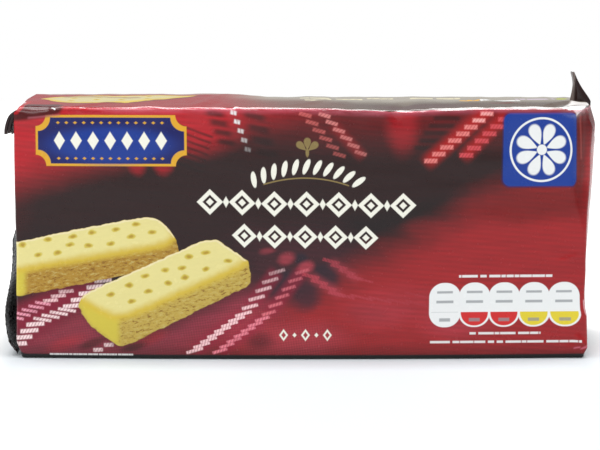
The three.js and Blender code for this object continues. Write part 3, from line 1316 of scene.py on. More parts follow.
class TopPanel:
    """The printed top: the front's cloth, one long finger, rows of tartan and plain dashes, and painted light and
    shade.
    """

    def __init__(self, front_edge: float) -> None:
        """Keep where the panel starts.

        Args:
            front_edge: how far up the sheet the top begins.
        """
        self.front_edge = front_edge

    def paint(self, sheet: NodeSheet) -> Colour:
        """Build the print up.

        Args:
            sheet: the node sheet of the panel's material.

        Returns:
            The socket that gives its colour.
        """
        sheet_place = Place.on_sheet(sheet)
        place = sheet_place.at((0.0, self.front_edge))
        top = Print(place, Ink(92, 78, 70))
        cloud = place.noise((18, 8), 3.0, 0.6, 13.0)
        top.glow((
            # Painted sheen: paler grey over the back half of the top.
            Sweep((0, 20), 90, 8.0, Ink(168, 162, 150), 0.85, 2.0),
            Glow((-6, 10), (26, 24), Ink(118, 78, 70), 0.8, 0, 0.3),
            Sweep((-14, 10), 190, 12.0, Ink(150, 52, 56), 1.0, 4.0),
            Glow((35, 8), (22, 9), Ink(84, 58, 58), 0.8, 0, 0.3),
        ), cloud)
        streak = place.noise((14, 1.2), 3.0, 0.65, 2.0)
        top.shade(streak * 0.16 + 1.0)
        pale = Ink(224, 216, 180)
        top.rows((
            TwillBand((5.4, 24.4), (24.4, 30.3), 3, 8.0, pale, 0.85, 2, 2.6, 2.4, 0.5),
            DashLine(0.0, 9.1, 30.3, 3.0, pale, 2.0, 0.8),
            DashLine(33.5, 48.8, 30.3, 3.0, pale, 2.0, 0.8),
            DashLine(54.0, 66.0, 22.3, 3.4, Inks.WHITE, 1.6, 0.95),
            DashLine(65.1, 75.8, 27.3, 3.2, Ink(204, 188, 208), 1.6, 0.8),
        ))
        top.stamp(Slab((61.0, 12.8), (10.5, 2.0), 0.8), Ink(112, 48, 50), 0.5, 0.8)
        top.stamp(Disc((77.8, 27.4), (1.4, 3.8), -18), Ink(168, 176, 70), 0.3, 0.9)
        FingerPicture(
            outline=((-78.5, 22.3), (-71.7, 14.0), (-65.3, 11.0), (-50.5, 11.0), (-42.0, 19.0), (-31.0, 31.0),
                     (-36.0, 32.0), (-64.6, 30.6), (-74.6, 28.4)),
            top=((-76.8, 22.3), (-70.8, 15.4), (-65.0, 12.6), (-51.2, 12.6), (-42.6, 20.4), (-33.0, 30.2),
                 (-36.4, 30.8), (-64.6, 29.4), (-73.6, 27.4)),
            near_end=(),
            holes=tuple((-68 + 7.4 * step, 17.5 + 1.2 * step + 6.4 * row)
                        for step in range(4) for row in range(2)),
            hole=(1.2, 1.4),
            crust=Ink(200, 190, 140),
        ).lay(top)
        top.stamp(Slab((-60.0, 26.4), (24, 3.0), 1.2, -8), Ink(158, 128, 104), 1.0, 0.8)
        # Painted highlight along the back edge at the left.
        top.stamp(Slab((-50.0, 35.4), (56, 4.0), 0.8), Ink(170, 160, 152), 1.0, 0.7)
        # Painted shade of the dark fold at the top left corner.
        top.stamp(Slab((-75.0, 2.4), (13.0, 9.0), 3.0), Inks.UMBER, 1.0, 0.9)
        red = Facet(((-86, -2.0), (-80.4, -1.0), (-79.4, 13.5), (-86, 13.5)), 0.5)
        top.stamp(red, Inks.SCARLET, 0.5, 0.9)
        # Painted glint in the red corner.
        top.stamp(Slab((-81.3, 10.5), (0.9, 2.0), 0.2), Inks.WHITE, 0.2, 0.8)
        for angle in (-1, 0, 1):
            top.stamp(Disc((50.9 + 1.7 * angle, 22.2 - 0.5 * abs(angle)), (0.9, 2.4), -32 * angle), Inks.GOLD)
        # Painted highlight: the corner facet that shines white, crossed by lines of painted shade along its creases.
        folded = Facet(((75.5, -1.0), (82.8, -1.0), (85.4, 15.7), (78.3, 17.2)), 0.8)
        top.stamp(folded, Ink(250, 246, 244), 0.5, 0.95)
        creases = (((76.6, 0.5), (80.2, 9.5)), ((80.2, 9.5), (84.0, 3.0)), ((78.6, 15.5), (84.8, 12.0)))
        top.rows([Stripe(start, end, 0.3, Inks.UMBER, 0.75, 0.35) for start, end in creases])
        return top.colour


class BackPanel:
    """The back, plainly printed with the same cloth and a pale panel of grey lines."""

    def paint(self, sheet: NodeSheet) -> Colour:
        """Build the print up.

        Args:
            sheet: the node sheet of the panel's material.

        Returns:
            The socket that gives its colour.
        """
        place = Place.on_sheet(sheet)
        back = Print(place, Inks.NIGHT)
        cloud = place.noise((18, 12), 3.0, 0.6, 21.0)
        back.glow((
            Glow((-50, 10), (70, 40), Inks.CLOTH_RED, 0.95, 0, 0.4),
            Glow((60, 60), (60, 34), Inks.CLOTH_RED, 0.9, 0, 0.3),
            Glow((70, 0), (40, 26), Inks.WINE, 0.9, 0, 0.3),
        ), cloud)
        streak = place.noise((22, 1.3), 3.0, 0.65, 30.0)
        back.shade(streak * 0.18 + 1.0)
        back.rows((
            TwillBand((-74, 4), (-50, 26), 11, 6.0, Inks.THREAD, 0.8, 5),
            TwillBand((-64, 3), (-42, 24), 11, 5.0, Inks.PINK_THREAD, 0.7, 5),
            TwillBand((34, 50), (56, 70), 10, 6.0, Inks.PINK_THREAD, 0.8, 5),
            TwillBand((46, 50), (66, 69), 10, 5.0, Inks.THREAD, 0.7, 5),
            Rungs((-70, 48), (-64, 70), 8, 16, Inks.NIGHT, 0.6, 3),
        ))
        back.stamp(Slab((-8, 58), (66, 22), 2.0), Inks.CREAM, 0.2)
        back.stamp(Slab((-4, 16), (70, 22), 2.0), Inks.CREAM, 0.2)
        back.rows([DashLine(left, 21 - 5 * (row % 3), base + 3 * row, 0.9, Inks.PANEL_GREY, 1.8)
                   for left, base in ((-36, 50.6), (-35, 8.6)) for row in range(6)])
        back.lay(place.v.eased(1.7, 1.1), Inks.BLACK)
        return back.colour


@dataclass(frozen=True)
class PlainFilm:
    """Film without print: near black, a little browner in patches.

    A line across the pack may be paler: a painted sheen along one flank of a fold.
    """

    ink: Ink = Inks.FILM
    lit: float | None = None

    def paint(self, sheet: NodeSheet) -> Colour:
        """Build the colour.

        Args:
            sheet: the node sheet of the film's material.

        Returns:
            The socket that gives the colour.
        """
        place = Place.in_space(sheet)
        plain = Print(place, self.ink)
        plain.lay(place.noise((9, 7), 2.0, 0.5, 4.0).eased(0.2, 1.2) * 0.5, Ink(84, 72, 70))
        if self.lit is not None:
            # Painted sheen along one line across the pack.
            plain.lay((place.u - self.lit).within(0.5, 0.3, 0.9), Ink(128, 116, 112))
        return plain.colour


# -------------------- The film's shape --------------------

class Panel(Enum):
    """The panels of the wrapper, each with a material slot of its own."""

    FRONT = 0
    TOP = 1
    BACK = 2
    PLAIN = 3


@dataclass(frozen=True)
class Swell:
    """A soft rise of the film round one place of a line, or a dip where its amount is less than 0."""

    amount: float
    centre: float
    reach: float

    def at(self, value: float) -> float:
        """Height of the swell at a place of the line."""
        return self.amount * bell(value, self.centre, self.reach)


@dataclass(frozen=True)
class Tent(Swell):
    """A swell with straight flanks that end at its reach."""

    def at(self, value: float) -> float:
        """Height of the tent at a place of the line."""
        return self.amount * max(0.0, 1 - abs(value - self.centre) / self.reach)


@dataclass(frozen=True)
class Ramp:
    """A rise of the film from 0 at one place of a line to its amount at another, and on from there."""

    amount: float
    start: float
    end: float

    def at(self, value: float) -> float:
        """Height of the ramp at a place of the line."""
        return self.amount * smoothstep(self.start, self.end, value)


@dataclass(frozen=True)
class Ripple:
    """Uneven waves of the film all over a panel."""

    amount: float
    sizes: Pair
    seed: float

    def lift(self, u: float, v: float, side: float = 1.0) -> float:
        """Height of the waves at a place of their panel, unlike on either side."""
        return self.amount * wave(u / self.sizes[0], v / self.sizes[1], self.seed * side)


@dataclass(frozen=True)
class Crease:
    """A narrow ridge or valley in the film, between two places of a panel."""

    start: Pair
    end: Pair
    height: float
    width: float = 1.2

    def lift(self, u: float, v: float) -> float:
        """Height of the crease at a place of its panel.

        Args:
            u: how far along the panel the place is.
            v: how far up the panel it is.

        Returns:
            The height.
        """
        start, along = Vector(self.start), Vector(self.end) - Vector(self.start)
        away = Vector((u, v)) - start
        part = min(1.0, max(0.0, away.dot(along) / along.length_squared))
        distance = (away - along * part).length
        taper = min(1.0, 5 * part, 5 * (1 - part))
        return self.height * taper * max(0.0, 1.0 - distance / self.width)


@dataclass(frozen=True)
class Wrapper:
    """The filled wrapper, in millimetres: a rounded block, bowed and puffed, with its finer creases."""

    UV_NAME = "sheet"

    length: float
    depth: float
    height: float
    edge_radius: float = 0.9
    front_bow: float = 1.8
    back_bow: float = 1.3
    end_flare: float = 1.1
    left_puff: float = 0.6
    left_waist: Ramp = Ramp(-0.75, 60.0, 30.0)
    left_tuck: Ramp = Ramp(-1.4, 5.5, 0.5)
    right_puff: float = 0.8
    shoulder: Swell = Swell(4.0, 62.5, 21.0)
    hip: Ramp = Ramp(1.0, 62.0, 38.0)
    hip_foot: Ramp = Ramp(1.0, 29.0, 36.0)
    waist: Swell = Swell(-0.35, 19.0, 6.0)
    foot: Ramp = Ramp(0.36, 15.0, 12.5)
    right_tuck: Ramp = Ramp(-0.9, 4.0, 0.5)
    corner_roll: Swell = Swell(1.15, 67.2, 4.2)
    top_puff: float = 0.9
    top_sag: Swell = Swell(-0.9, 26.0, 16.0)
    front_lift: float = 0.9
    lift_heights: Pair = (60.0, 72.5)
    edge_reach: float = 3.2
    edge_knot: Swell = Swell(0.55, -18.3, 0.9)
    rumple: Swell = Swell(0.15, -76.0, 9.0)
    gusset_depth: float = 0.55
    gusset_slope: float = 0.98
    gusset_edge: float = 0.9
    roll_across: Swell = Swell(1.0, -7.0, 8.0)
    front_flat: float = 0.62
    left_flat: float = 0.5
    right_flat: float = 0.55
    left_wrap: float = -16.5
    right_wrap: float = -3.0
    right_wrap_top: Ramp = Ramp(8.0, 20.0, 40.0)
    settled: Ramp = Ramp(1.0, 0.0, 2.5)
    cell: float = 0.8

    FRONT_PRESSES = (Ramp(0.25, 22.0, 40.0), Tent(1.4, 80.6, 4.6), Swell(0.8, -78.0, 6.0))
    LEFT_PRESS = Ramp(1.4, 14.0, -12.0)
    RIGHT_PRESSES = (Ramp(3.6, 36.0, 54.0), Ramp(1.0, 77.0, 69.0))
    FRONT_WAVES = Ripple(0.13, (46.0, 6.5), 1.0)
    STRONGER_RIGHT = Ramp(0.4, -20.0, 60.0)
    FRONT_FORMS = (
        Ripple(0.05, (11.0, 4.0), 7.0),
        Crease((74.3, 28.4), (81.5, 31.0), 0.25, 1.0),
        Crease((79.5, 7.4), (84.0, 1.6), 0.6, 1.4),
        Crease((76.5, 2.2), (82.0, 4.6), 0.4, 1.2),
        Crease((25.0, 74.0), (28.5, 69.5), -0.5, 1.3),
        Crease((-71.6, 74.0), (-69.8, 69.0), 0.4, 1.2),
        Crease((-63.4, 74.0), (-61.6, 70.4), 0.35, 1.1),
        Crease((-20.6, 74.0), (-18.8, 70.8), 0.4, 1.2),
        Crease((7.4, 74.0), (9.2, 71.0), 0.25, 1.2),
        Crease((-83.0, 69.4), (-64.0, 71.2), 0.2, 1.6),
    )
    TOP_FORMS = (
        Ripple(0.22, (8.0, 16.0), 4.0),
        Ripple(0.10, (3.0, 7.0), 5.0),
        Crease((-30.0, -18.0), (-22.0, 18.0), 0.7, 4.0),
        Crease((-66.0, -17.0), (-44.0, 4.0), 0.3, 3.0),
        Crease((26.0, -18.0), (33.0, 2.0), -0.5, 3.0),
        Crease((48.0, 16.0), (66.0, -12.0), 0.35, 3.0),
        Crease((70.0, -17.0), (80.0, 2.0), 0.5, 2.4),
        Crease((-4.0, -16.0), (12.0, 12.0), 0.35, 3.0),
    )
    BACK_FORMS = (Ripple(0.16, (30.0, 7.0), 11.0), Ripple(0.06, (9.0, 4.0), 12.0))
    PLEATS = (Ripple(0.18, (2.2, 16.0), 9.0), Ripple(0.10, (5.0, 5.0), 4.0))

    @classmethod
    def from_frame(cls) -> "Wrapper":
        """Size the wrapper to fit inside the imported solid, which also has the seals, the ears and the bows.

        Returns:
            The wrapper.
        """
        low, high = (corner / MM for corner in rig.box(NODE))
        ends_overhang, faces_overhang, ear_rise = 8.08, 3.6, 9.3
        return cls(
            length=high.x - low.x - ends_overhang,
            depth=high.y - low.y - faces_overhang,
            height=high.z - ear_rise,
        )

    def slack(self, x: float) -> float:
        """How far along the slack middle a place is: 1 halfway along, 0 at the ends."""
        return max(0.0, 1 - (x / (self.length / 2)) ** 2)

    def end_puff(self, side: int, y: float, z: float) -> float:
        """Distance that the film of one end stands out past the end of the block.

        Args:
            side: -1 for the left end, 1 for the right one.
            y: the place across the end.
            z: the height.

        Returns:
            The distance.
        """
        across_end = max(0.0, 1 - (y / (self.depth / 2)) ** 2)
        flare = self.end_flare * (1 - 2 * z / self.height)
        if side < 0:
            return flare + self.left_puff * across_end + self.left_tuck.at(z) + self.left_waist.at(z)
        puff = self.right_puff + self.shoulder.at(z) + self.hip.at(z) * self.hip_foot.at(z)
        return flare + puff * across_end + self.waist.at(z) + self.foot.at(z) + self.right_tuck.at(z)

    def end_face(self, side: int, y: float, z: float) -> float:
        """Place of an end's film along X."""
        return side * (self.length / 2 + self.end_puff(side, y, z))

    def back_face(self, x: float) -> float:
        """Place of the back's film along Y."""
        return self.depth / 2 + self.back_bow * self.slack(x)

    def top_rise(self, x: float, y: float) -> float:
        """Height that the top film gains along the pack, less the sag of its front edge."""
        puff = self.top_puff * (1 - smoothstep(*LIFT_SPAN, x))
        return puff + self.top_sag.at(x) * (0.5 - y / self.depth)

    def edge_lift(self, spot: Vector) -> float:
        """Height that the right part of the top front edge gains."""
        near_front = 0.5 - spot.y / self.depth
        lift = self.front_lift * smoothstep(*LIFT_SPAN, spot.x) * near_front
        return lift * smoothstep(*self.lift_heights, spot.z)

    def drape(self, spot: Vector) -> Vector:
        """Find where the film lies that covers a spot of the plain block.

        Args:
            spot: the spot.

        Returns:
            The film's place.
        """
        across = 2 * spot.y / self.depth
        bow = self.front_bow if across < 0 else self.back_bow
        side = 1 if spot.x > 0 else -1
        near_end = smoothstep(self.length * 0.4, self.length * 0.5, abs(spot.x))
        return Vector((
            spot.x + side * near_end * self.end_puff(side, spot.y, spot.z),
            spot.y + across * bow * self.slack(spot.x),
            spot.z + spot.z / self.height * self.top_rise(spot.x, spot.y) + self.edge_lift(spot),
        ))

    def outward(self, spot: Vector) -> Vector:
        """Find the direction in which the plain block faces at a spot of its skin.

        Args:
            spot: the spot.

        Returns:
            The direction, of length 1.
        """
        half = Vector((self.length, self.depth, self.height)) / 2 - Vector((self.edge_radius,) * 3)
        middle = Vector((0, 0, self.height / 2))
        away = spot - middle
        core = Vector(tuple(max(-h, min(h, a)) for a, h in zip(away, half)))
        return (away - core).normalized()

    def press_corners(self, spot: Vector) -> Vector:
        """Press the film flat across edges that the biscuits don't fill.

        Args:
            spot: a spot on the plain block.

        Returns:
            The spot, brought in where it lay past one of the flats.
        """
        half_length, half_depth = self.length / 2, self.depth / 2
        uneven = 0.12 * wave(spot.x / 12, 6.0)
        width = self.front_flat + uneven + sum(press.at(spot.x) for press in self.FRONT_PRESSES)
        spot = pressed(spot, (0, -half_depth, self.height), (0, -1, 1), width)
        width = self.left_flat + self.LEFT_PRESS.at(spot.y)
        spot = pressed(spot, (-half_length, 0, self.height), (-1, 0, 1), width)
        width = self.right_flat + math.prod(press.at(spot.z) for press in self.RIGHT_PRESSES)
        return pressed(spot, (half_length, -half_depth, 0), (1, -1, 0), width)

    def relief(self, spot: Vector, facing: Vector) -> float:
        """Height of the finer folds and ripples over the draped film.

        Args:
            spot: a spot on the plain block.
            facing: the direction in which the block faces there.

        Returns:
            How far the film stands out along that direction.
        """
        x, y, z = spot
        near_edge = math.exp(-(abs(z - self.height) + abs(y + self.depth / 2)) / self.edge_reach)
        crinkle = 0.34 * wave(x / 8.0, 3.0) + 0.10 * wave(x / 2.6, 8.0)
        rumple = self.rumple.at(x) * wave(x / 2.6, z / 1.6, y / 1.6)
        amount = near_edge * (crinkle + self.edge_knot.at(x) + rumple)
        if facing.y < 0:
            waves = self.FRONT_WAVES.lift(x, z) * (0.6 + self.STRONGER_RIGHT.at(x))
            amount -= facing.y * (waves + sum(form.lift(x, z) for form in self.FRONT_FORMS))
        if facing.z > 0:
            amount += facing.z * sum(form.lift(x, y) for form in self.TOP_FORMS)
        if facing.y > 0:
            amount += facing.y * sum(form.lift(x, z) for form in self.BACK_FORMS)
        amount += abs(facing.x) * self.end_relief(math.copysign(1, x), y, z)
        return amount * self.settled.at(z)

    def end_relief(self, side: float, y: float, z: float) -> float:
        """Tucks of one end: gussets folded in above and below, and pleats that run to the seal.

        Args:
            side: -1 for the left end, 1 for the right one.
            y: the place across the end.
            z: the height.

        Returns:
            How far the film stands out from the end.
        """
        reach = self.gusset_slope * abs(y)
        middle = self.depth / 2
        edge = self.gusset_edge
        upper = smoothstep(edge, -edge, z - (self.height - middle + reach))
        lower = smoothstep(-edge, edge, z - (middle - reach))
        pleats = sum(pleat.lift(y, z, side) for pleat in self.PLEATS)
        roll = self.corner_roll.at(z) * self.roll_across.at(y) if side > 0 else 0.0
        return self.gusset_depth * (upper * lower - 1) + pleats + roll

    def panel(self, facing: Vector, spot: Vector) -> Panel:
        """Tell the panel that a face of the plain block belongs to.

        Args:
            facing: the direction in which the face faces.
            spot: its middle.

        Returns:
            The panel.
        """
        wrap = self.left_wrap if spot.x < 0 else self.right_wrap + self.right_wrap_top.at(spot.z)
        if facing.y < -0.7 or (abs(facing.x) > 0.7 and spot.y < wrap):
            return Panel.FRONT
        if facing.z > 0.7:
            return Panel.TOP
        if facing.y > 0.7:
            return Panel.BACK
        return Panel.PLAIN

    def block(self) -> bmesh.types.BMesh:
        """Make the plain block with rounded edges, in a fine even grid.

        Returns:
            The block's mesh.
        """
        mesh = bmesh.new()
        sides = Vector((self.length, self.depth, self.height))
        bmesh.ops.create_cube(mesh, size=1.0)
        bmesh.ops.scale(mesh, vec=sides, verts=mesh.verts)
        bmesh.ops.bevel(mesh, geom=mesh.edges[:], offset=self.edge_radius, offset_type="OFFSET",
                        affect="EDGES", segments=8, profile=0.5, material=-1)
        for axis, side in enumerate(sides):
            long = [edge for edge in mesh.edges
                    if abs((edge.verts[1].co - edge.verts[0].co)[axis]) > 3 * self.cell]
            cuts = round((side - 2 * self.edge_radius) / self.cell) - 1
            bmesh.ops.subdivide_edges(mesh, edges=long, cuts=cuts, use_grid_fill=True)
        bmesh.ops.translate(mesh, vec=Vector((0, 0, self.height / 2)), verts=mesh.verts)
        return mesh

    def build(self) -> bpy.types.Object:
        """Make the wrapper's piece.

        Returns:
            The piece.
        """
        mesh = self.block()
        mesh.normal_update()
        unrolled = mesh.loops.layers.uv.new(self.UV_NAME)
        for face in mesh.faces:
            face.material_index = self.panel(face.normal, face.calc_center_median()).value
            for loop in face.loops:
                loop[unrolled].uv = self.unroll(loop.vert.co)
        for vert in mesh.verts:
            facing = self.outward(vert.co)
            lift = self.relief(vert.co, facing)
            vert.co = self.drape(self.press_corners(vert.co)) + facing * lift
        return finish_piece("wrapper_film", mesh)

    def unroll(self, spot: Vector) -> Pair:
        """Find the place on the flat sheet of a spot of the plain block.

        Args:
            spot: the spot.

        Returns:
            The place along the pack and up it, measured round the front's edges.
        """
        back = spot.y + self.depth / 2
        past_end = smoothstep(-self.edge_radius, 0.0, spot.x - self.length / 2)
        past_top = smoothstep(-self.edge_radius, 0.0, spot.z - self.height)
        return (spot.x + back * past_end, spot.z + back * past_top + self.edge_lift(spot))


class LooseFilm:
    """Film that lies loose on the wrapper: flat sheets, each bent to its place and given its thickness."""

    name: str
    thickness: float
    cells: tuple[int, int]
    layers = 1
    turned_over = False

    def bend(self, wrapper: Wrapper, across: float, up: float, layer: int) -> Vector:
        """Find where a spot of a flat sheet goes.

        Args:
            wrapper: the wrapper.
            across: how far across the sheet the spot is, from 0 to 1.
            up: how far up the sheet it is, from 0 to 1.
            layer: number of the sheet.

        Returns:
            The spot's place.
        """
        raise NotImplementedError

    def build(self, wrapper: Wrapper) -> bpy.types.Object:
        """Make the piece on a wrapper.

        Args:
            wrapper: the wrapper.

        Returns:
            The piece.
        """
        mesh = bmesh.new()
        columns, rows = self.cells
        for layer in range(self.layers):
            grid = bmesh.ops.create_grid(mesh, x_segments=columns, y_segments=rows, size=0.5)
            for vert in grid["verts"]:
                vert.co = self.bend(wrapper, vert.co.x + 0.5, vert.co.y + 0.5, layer)
        if self.turned_over:
            bmesh.ops.reverse_faces(mesh, faces=mesh.faces)
        bmesh.ops.solidify(mesh, geom=mesh.faces[:], thickness=self.thickness)
        return finish_piece(self.name, mesh)


@dataclass(frozen=True)
class EndSeal(LooseFilm):
    """A crimped fin of film folded flat on one end, its free edge pinked."""

    name: str
    side: int
    hinge: float
    free: float
    bottom: float
    top: float
    flare: Swell = Swell(0.0, 12.5, 9.5)
    stand_off: float = 0.48
    thickness: float = 0.6
    tooth: float = 0.5
    tooth_pitch: float = 2.5
    crimp: float = 0.05
    ripple: Ripple = Ripple(0.15, (14.0, 6.0), 3.0)

    ROWS_PER_TOOTH = 12

    @property
    def cells(self) -> tuple[int, int]:
        """Cells across and up."""
        return 9, round((self.top - self.bottom) / self.tooth_pitch * self.ROWS_PER_TOOTH)

    @property
    def way(self) -> int:
        """1 where the free edge lies behind the hinge, and -1 where it lies in front."""
        return 1 if self.free > self.hinge else -1

    @property
    def turned_over(self) -> bool:
        """Whether the flat sheet would face the wrapper."""
        return self.side * self.way < 0

    def bend(self, wrapper: Wrapper, across: float, up: float, layer: int) -> Vector:
        """Find where a spot of the fin goes: its hinge is at 0 across, its free edge at 1.

        Args:
            wrapper: the wrapper.
            across: how far from the hinge the spot is.
            up: how far up the fin it is.
            layer: number of the sheet, of which the fin has one.

        Returns:
            The spot's place.
        """
        z = self.bottom + up * (self.top - self.bottom)
        turn = z / self.tooth_pitch
        tooth = self.tooth * 2 * abs(turn - round(turn)) * smoothstep(0.8, 1.0, across)
        y = self.hinge + (self.free - self.hinge) * across - self.way * tooth
        flare = self.flare.at(z) * smoothstep(1, 4, z) * smoothstep(0, 0.7, across)
        crimp = self.crimp * math.cos(4 * math.pi * turn) * smoothstep(0.0, 0.12, across)
        stand_off = self.stand_off * smoothstep(self.top + 1.5, self.top - 4.5, z)
        lift = stand_off + flare + crimp + self.ripple.lift(z, y, self.side)
        return Vector((wrapper.end_face(self.side, y, z) + self.side * lift, y, z))


@dataclass(frozen=True)
class RightEar(LooseFilm):
    """The ear that stands up on the right end: film folded to a curved point, one flank turned away."""

    left: float = 80.6
    right: float = 86.7
    tip: float = 9.3
    tip_width: float = 0.85
    belly: float = 0.7
    root: float = 1.0
    place: float = 1.0
    flank: float = 0.3
    flank_depth: float = 1.3
    thickness: float = 0.55

    name = "ear_right"
    cells = (12, 24)

    def bend(self, wrapper: Wrapper, across: float, up: float, layer: int) -> Vector:
        """Find where a spot of the ear goes.

        Args:
            wrapper: the wrapper.
            across: how far from the left flank the spot is.
            up: how far up the ear it is.
            layer: number of the sheet, of which the ear has one.

        Returns:
            The spot's place.
        """
        z = wrapper.height - self.root + up * (self.root + self.tip)
        rise = max(0.0, (z - wrapper.height) / self.tip)
        near = self.left + self.belly * math.sin(math.pi * rise ** 1.3)
        wavy = rise - 0.055 * math.sin(2 * math.pi * rise ** 0.62)
        far = self.right - (self.right - self.left - self.tip_width) * wavy
        fold = self.flank_depth * max(0.0, 1 - across / self.flank)
        curl = 0.7 * math.sin(math.pi * across) + 0.6 * rise
        return Vector((near + (far - near) * across, self.place + fold - curl, z))


@dataclass(frozen=True)
class LeftEar(LooseFilm):
    """The ear that hangs down on the left end: film folded in layers and cut off, hooked over the corner."""

    reach: float = 3.05
    drop: float = 7.5
    layers: int = 3
    thickness: float = 0.72
    front: float = -17.6
    back: float = 2.0

    name = "ear_left"
    cells = (14, 16)

    def bend(self, wrapper: Wrapper, across: float, up: float, layer: int) -> Vector:
        """Find where a spot of the ear goes: each layer runs from the top, over its knee, to its foot.

        Args:
            wrapper: the wrapper.
            across: how far up from the foot the spot is.
            up: how far from the front it is.
            layer: number of the layer, from the outermost.

        Returns:
            The spot's place.
        """
        end = -wrapper.length / 2 + wrapper.end_flare
        top = wrapper.height + wrapper.top_puff
        inward = layer / self.layers
        reach = self.reach * (1 - inward)
        start = Vector((end + 2.4, top - 0.9 - 1.2 * inward))
        knee = Vector((end - reach * 0.9, top - 1.0 - 1.5 * inward))
        foot = Vector((end - reach, top - self.drop - 0.6 + 0.8 * inward))
        part = 1 - across
        y = self.front + 0.5 * inward + up * (self.back - self.front)
        run = start.lerp(knee, part).lerp(knee.lerp(foot, part), part)
        ripple = 0.12 * wave(y / 3, part * 5, 8.0)
        return Vector((run.x + ripple, y, run.y - 0.3 * wave(y / 4, 2.0) * part))


@dataclass(frozen=True)
class BackSeam(LooseFilm):
    """The long seam, crimped and folded down on the back."""

    low: float = 32.0
    high: float = 42.0
    thickness: float = 0.5
    end_gap: float = 3.0
    crimp: float = 0.10
    crimp_pitch: float = 1.25
    ripple: Ripple = Ripple(0.12, (9.0, 6.0), 6.0)

    name = "back_seam"
    cells = (110, 40)

    def bend(self, wrapper: Wrapper, across: float, up: float, layer: int) -> Vector:
        """Find where a spot of the seam goes.

        Args:
            wrapper: the wrapper.
            across: how far from the right end the spot is.
            up: how far up the seam it is.
            layer: number of the sheet, of which the seam has one.

        Returns:
            The spot's place.
        """
        x = (0.5 - across) * (wrapper.length - 2 * self.end_gap)
        z = self.low + up * (self.high - self.low)
        crimp = self.crimp * math.cos(2 * math.pi * z / self.crimp_pitch)
        stand_off = self.thickness * 0.7 + crimp + self.ripple.lift(x, z)
        return Vector((x, wrapper.back_face(x) + stand_off, z))


# -------------------- Pieces and studio --------------------

def finish_piece(name: str, mesh: bmesh.types.BMesh) -> bpy.types.Object:
    """Bring a mesh in millimetres to metres and make it a smooth object.

    Args:
        name: the piece's name.
        mesh: its mesh, which is used up.

    Returns:
        The object, at the origin.
    """
    bmesh.ops.scale(mesh, vec=Vector((MM,) * 3), verts=mesh.verts)
    for face in mesh.faces:
        face.smooth = True
    data = bpy.data.meshes.new(name)
    mesh.to_mesh(data)
    mesh.free()
    data.set_sharp_from_angle(angle=math.radians(50))
    piece = bpy.data.objects.new(name, data)
    bpy.context.scene.collection.objects.link(piece)
    return piece


def hand_over(piece: bpy.types.Object, materials: Sequence[bpy.types.Material]) -> None:
    """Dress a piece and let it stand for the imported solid.

    Args:
        piece: the piece.
        materials: its materials, in the order of its slots.
    """
    for material in materials:
        piece.data.materials.append(material)
    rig.ride(piece, BODY)
    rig.replaces(piece, NODE)
    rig.slot(piece, SLOT)


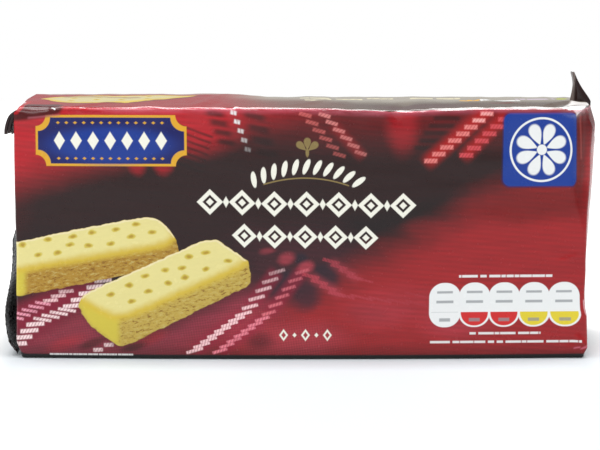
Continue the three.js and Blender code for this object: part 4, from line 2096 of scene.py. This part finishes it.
@dataclass(frozen=True)
class Studio:
    """A pale floor, soft light and the camera."""

    camera_place: tuple[float, float, float] = (0.0, -0.4885, 0.124)
    camera_pitch: float = 10.155
    lens: float = 98.7
    sensor_width: float = 36.0
    floor_radius: float = 0.75
    floor_near: tuple[float, float, float, float] = (0.615, 0.662, 0.69, 1.0)
    floor_far: tuple[float, float, float, float] = (0.92, 0.92, 0.92, 1.0)
    pale_beside: Pair = (82.0, 96.0)
    pale_behind: Pair = (-60.0, -20.0)
    pale_around: Pair = (200.0, 450.0)
    sky_light: float = 0.45

    def build(self) -> None:
        """Make the floor, the lights, the sky and the camera."""
        bpy.context.scene.view_settings.view_transform = "Standard"
        self._floor()
        self._sky()
        self._softbox("roof_light", (0.0, 0.0, 3.0), (0.0, 0.0, 0.05), (3.0, 1.0), 110.0)
        self._softbox("front_light", (-0.5, -1.3, 0.9), (0.0, 0.0, 0.03), (0.8, 0.6), 10.0)
        self._camera()

    def _floor(self) -> None:
        """Make the floor, paler beside the pack and further off all round: painted light that evens out the shade
        beside the pack and the fall of the roof light.
        """
        mesh = bmesh.new()
        bmesh.ops.create_circle(mesh, cap_ends=True, segments=96, radius=self.floor_radius)
        data = bpy.data.meshes.new("floor")
        mesh.to_mesh(data)
        mesh.free()
        floor = bpy.data.objects.new("floor", data)
        bpy.context.scene.collection.objects.link(floor)
        sheet = NodeSheet(bpy.data.materials.new("pale_floor"))
        place = Place.in_space(sheet)
        # Painted light: the floor is paler where the pack would shade it and where the roof light falls off.
        beside = abs(place.u).eased(*self.pale_beside) * place.v.eased(*self.pale_behind)
        around = place.length().eased(*self.pale_around)
        pale = {0: beside.most(around), 6: self.floor_near, 7: self.floor_far}
        shader = sheet.add("BsdfPrincipled", values={
            "Base Color": sheet.add("Mix", {"data_type": "RGBA"}, pale).outputs[2],
            "Roughness": 0.6,
            "Specular IOR Level": 0.3,
        })
        sheet.add("OutputMaterial", values={"Surface": shader.outputs[0]})
        data.materials.append(sheet.owner)
        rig.stage(floor)

    def _sky(self) -> None:
        """Make the sky: white to the eye, and dimmer in what it lights."""
        world = bpy.data.worlds.new("sky")
        bpy.context.scene.world = world
        sheet = NodeSheet(world)
        seen = Field(sheet, sheet.add("LightPath").outputs["Is Camera Ray"])
        strength = seen * (1.0 - self.sky_light) + self.sky_light
        shader = sheet.add("Background", values={"Color": (1.0, 1.0, 1.0, 1.0), "Strength": strength})
        sheet.add("OutputWorld", values={"Surface": shader.outputs[0]})

    def _softbox(self, name: str, place: Sequence[float], aim: Sequence[float], size: Pair,
                 power: float) -> None:
        """Make one rectangular area light.

        Args:
            name: the light's name.
            place: where it hangs, in metres.
            aim: the point that it faces.
            size: its width and depth.
            power: its power in watts.
        """
        data = bpy.data.lights.new(name, "AREA")
        data.shape = "RECTANGLE"
        data.size, data.size_y = size
        data.energy = power
        light = bpy.data.objects.new(name, data)
        light.location = place
        light.rotation_euler = (Vector(aim) - Vector(place)).to_track_quat("-Z", "Y").to_euler()
        bpy.context.scene.collection.objects.link(light)

    def _camera(self) -> None:
        """Make the camera."""
        data = bpy.data.cameras.new("camera")
        data.lens = self.lens
        data.sensor_width = self.sensor_width
        camera = bpy.data.objects.new("camera", data)
        camera.location = self.camera_place
        camera.rotation_euler = (math.radians(90 - self.camera_pitch), 0.0, 0.0)
        bpy.context.scene.collection.objects.link(camera)
        bpy.context.scene.camera = camera


def main() -> None:
    """Build the pack, dress it and set the studio up."""
    logging.basicConfig(level=logging.INFO, format="%(name)s: %(message)s")
    wrapper = Wrapper.from_frame()
    film = FilmFinish()
    folds = TightFolds(wrapper.height, wrapper.front_lift)
    panels = (
        ("printed_front", FrontPanel()),
        ("printed_top", TopPanel(wrapper.height)),
        ("printed_back", BackPanel()),
        ("plain_film", PlainFilm()),
        # The seals' film is painted paler than the plain film, as light for their dim sides.
        ("seal_film", PlainFilm(Ink(68, 60, 61))),
        ("ear_film", PlainFilm(lit=81.2)),
    )
    materials = []
    for name, panel in panels:
        sheet = NodeSheet(bpy.data.materials.new(name))
        shine = folds.mask(Place.on_sheet(sheet)) if isinstance(panel, (FrontPanel, TopPanel)) else 0.0
        materials.append(film.apply(sheet, panel.paint(sheet), shine))
        LOG.info("%s: %d nodes", name, len(sheet.tree.nodes))
    *wrapping, seal_film, ear_film = materials
    pieces = [(wrapper.build(), wrapping)]
    seals = (
        EndSeal("seal_right", 1, 1.0, 12.0, 4.0, 69.0),
        EndSeal("seal_left", -1, 3.0, -16.0, 1.0, 38.5, flare=Swell(2.3, 12.5, 9.5), stand_off=1.4),
    )
    for part in (*seals, BackSeam()):
        pieces.append((part.build(wrapper), [seal_film]))
    for part in (RightEar(), LeftEar()):
        pieces.append((part.build(wrapper), [ear_film]))
    for piece, dress in pieces:
        hand_over(piece, dress)
        LOG.info("%s: %d faces", piece.name, len(piece.data.polygons))
    Studio().build()
    boxes = {"cad": CAD_BOX, "visual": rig.bounds()}
    with open("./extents.json", "w") as out:
        json.dump({name: [list(corner) for corner in box] for name, box in boxes.items()}, out)


if __name__ == "__main__":
    main()
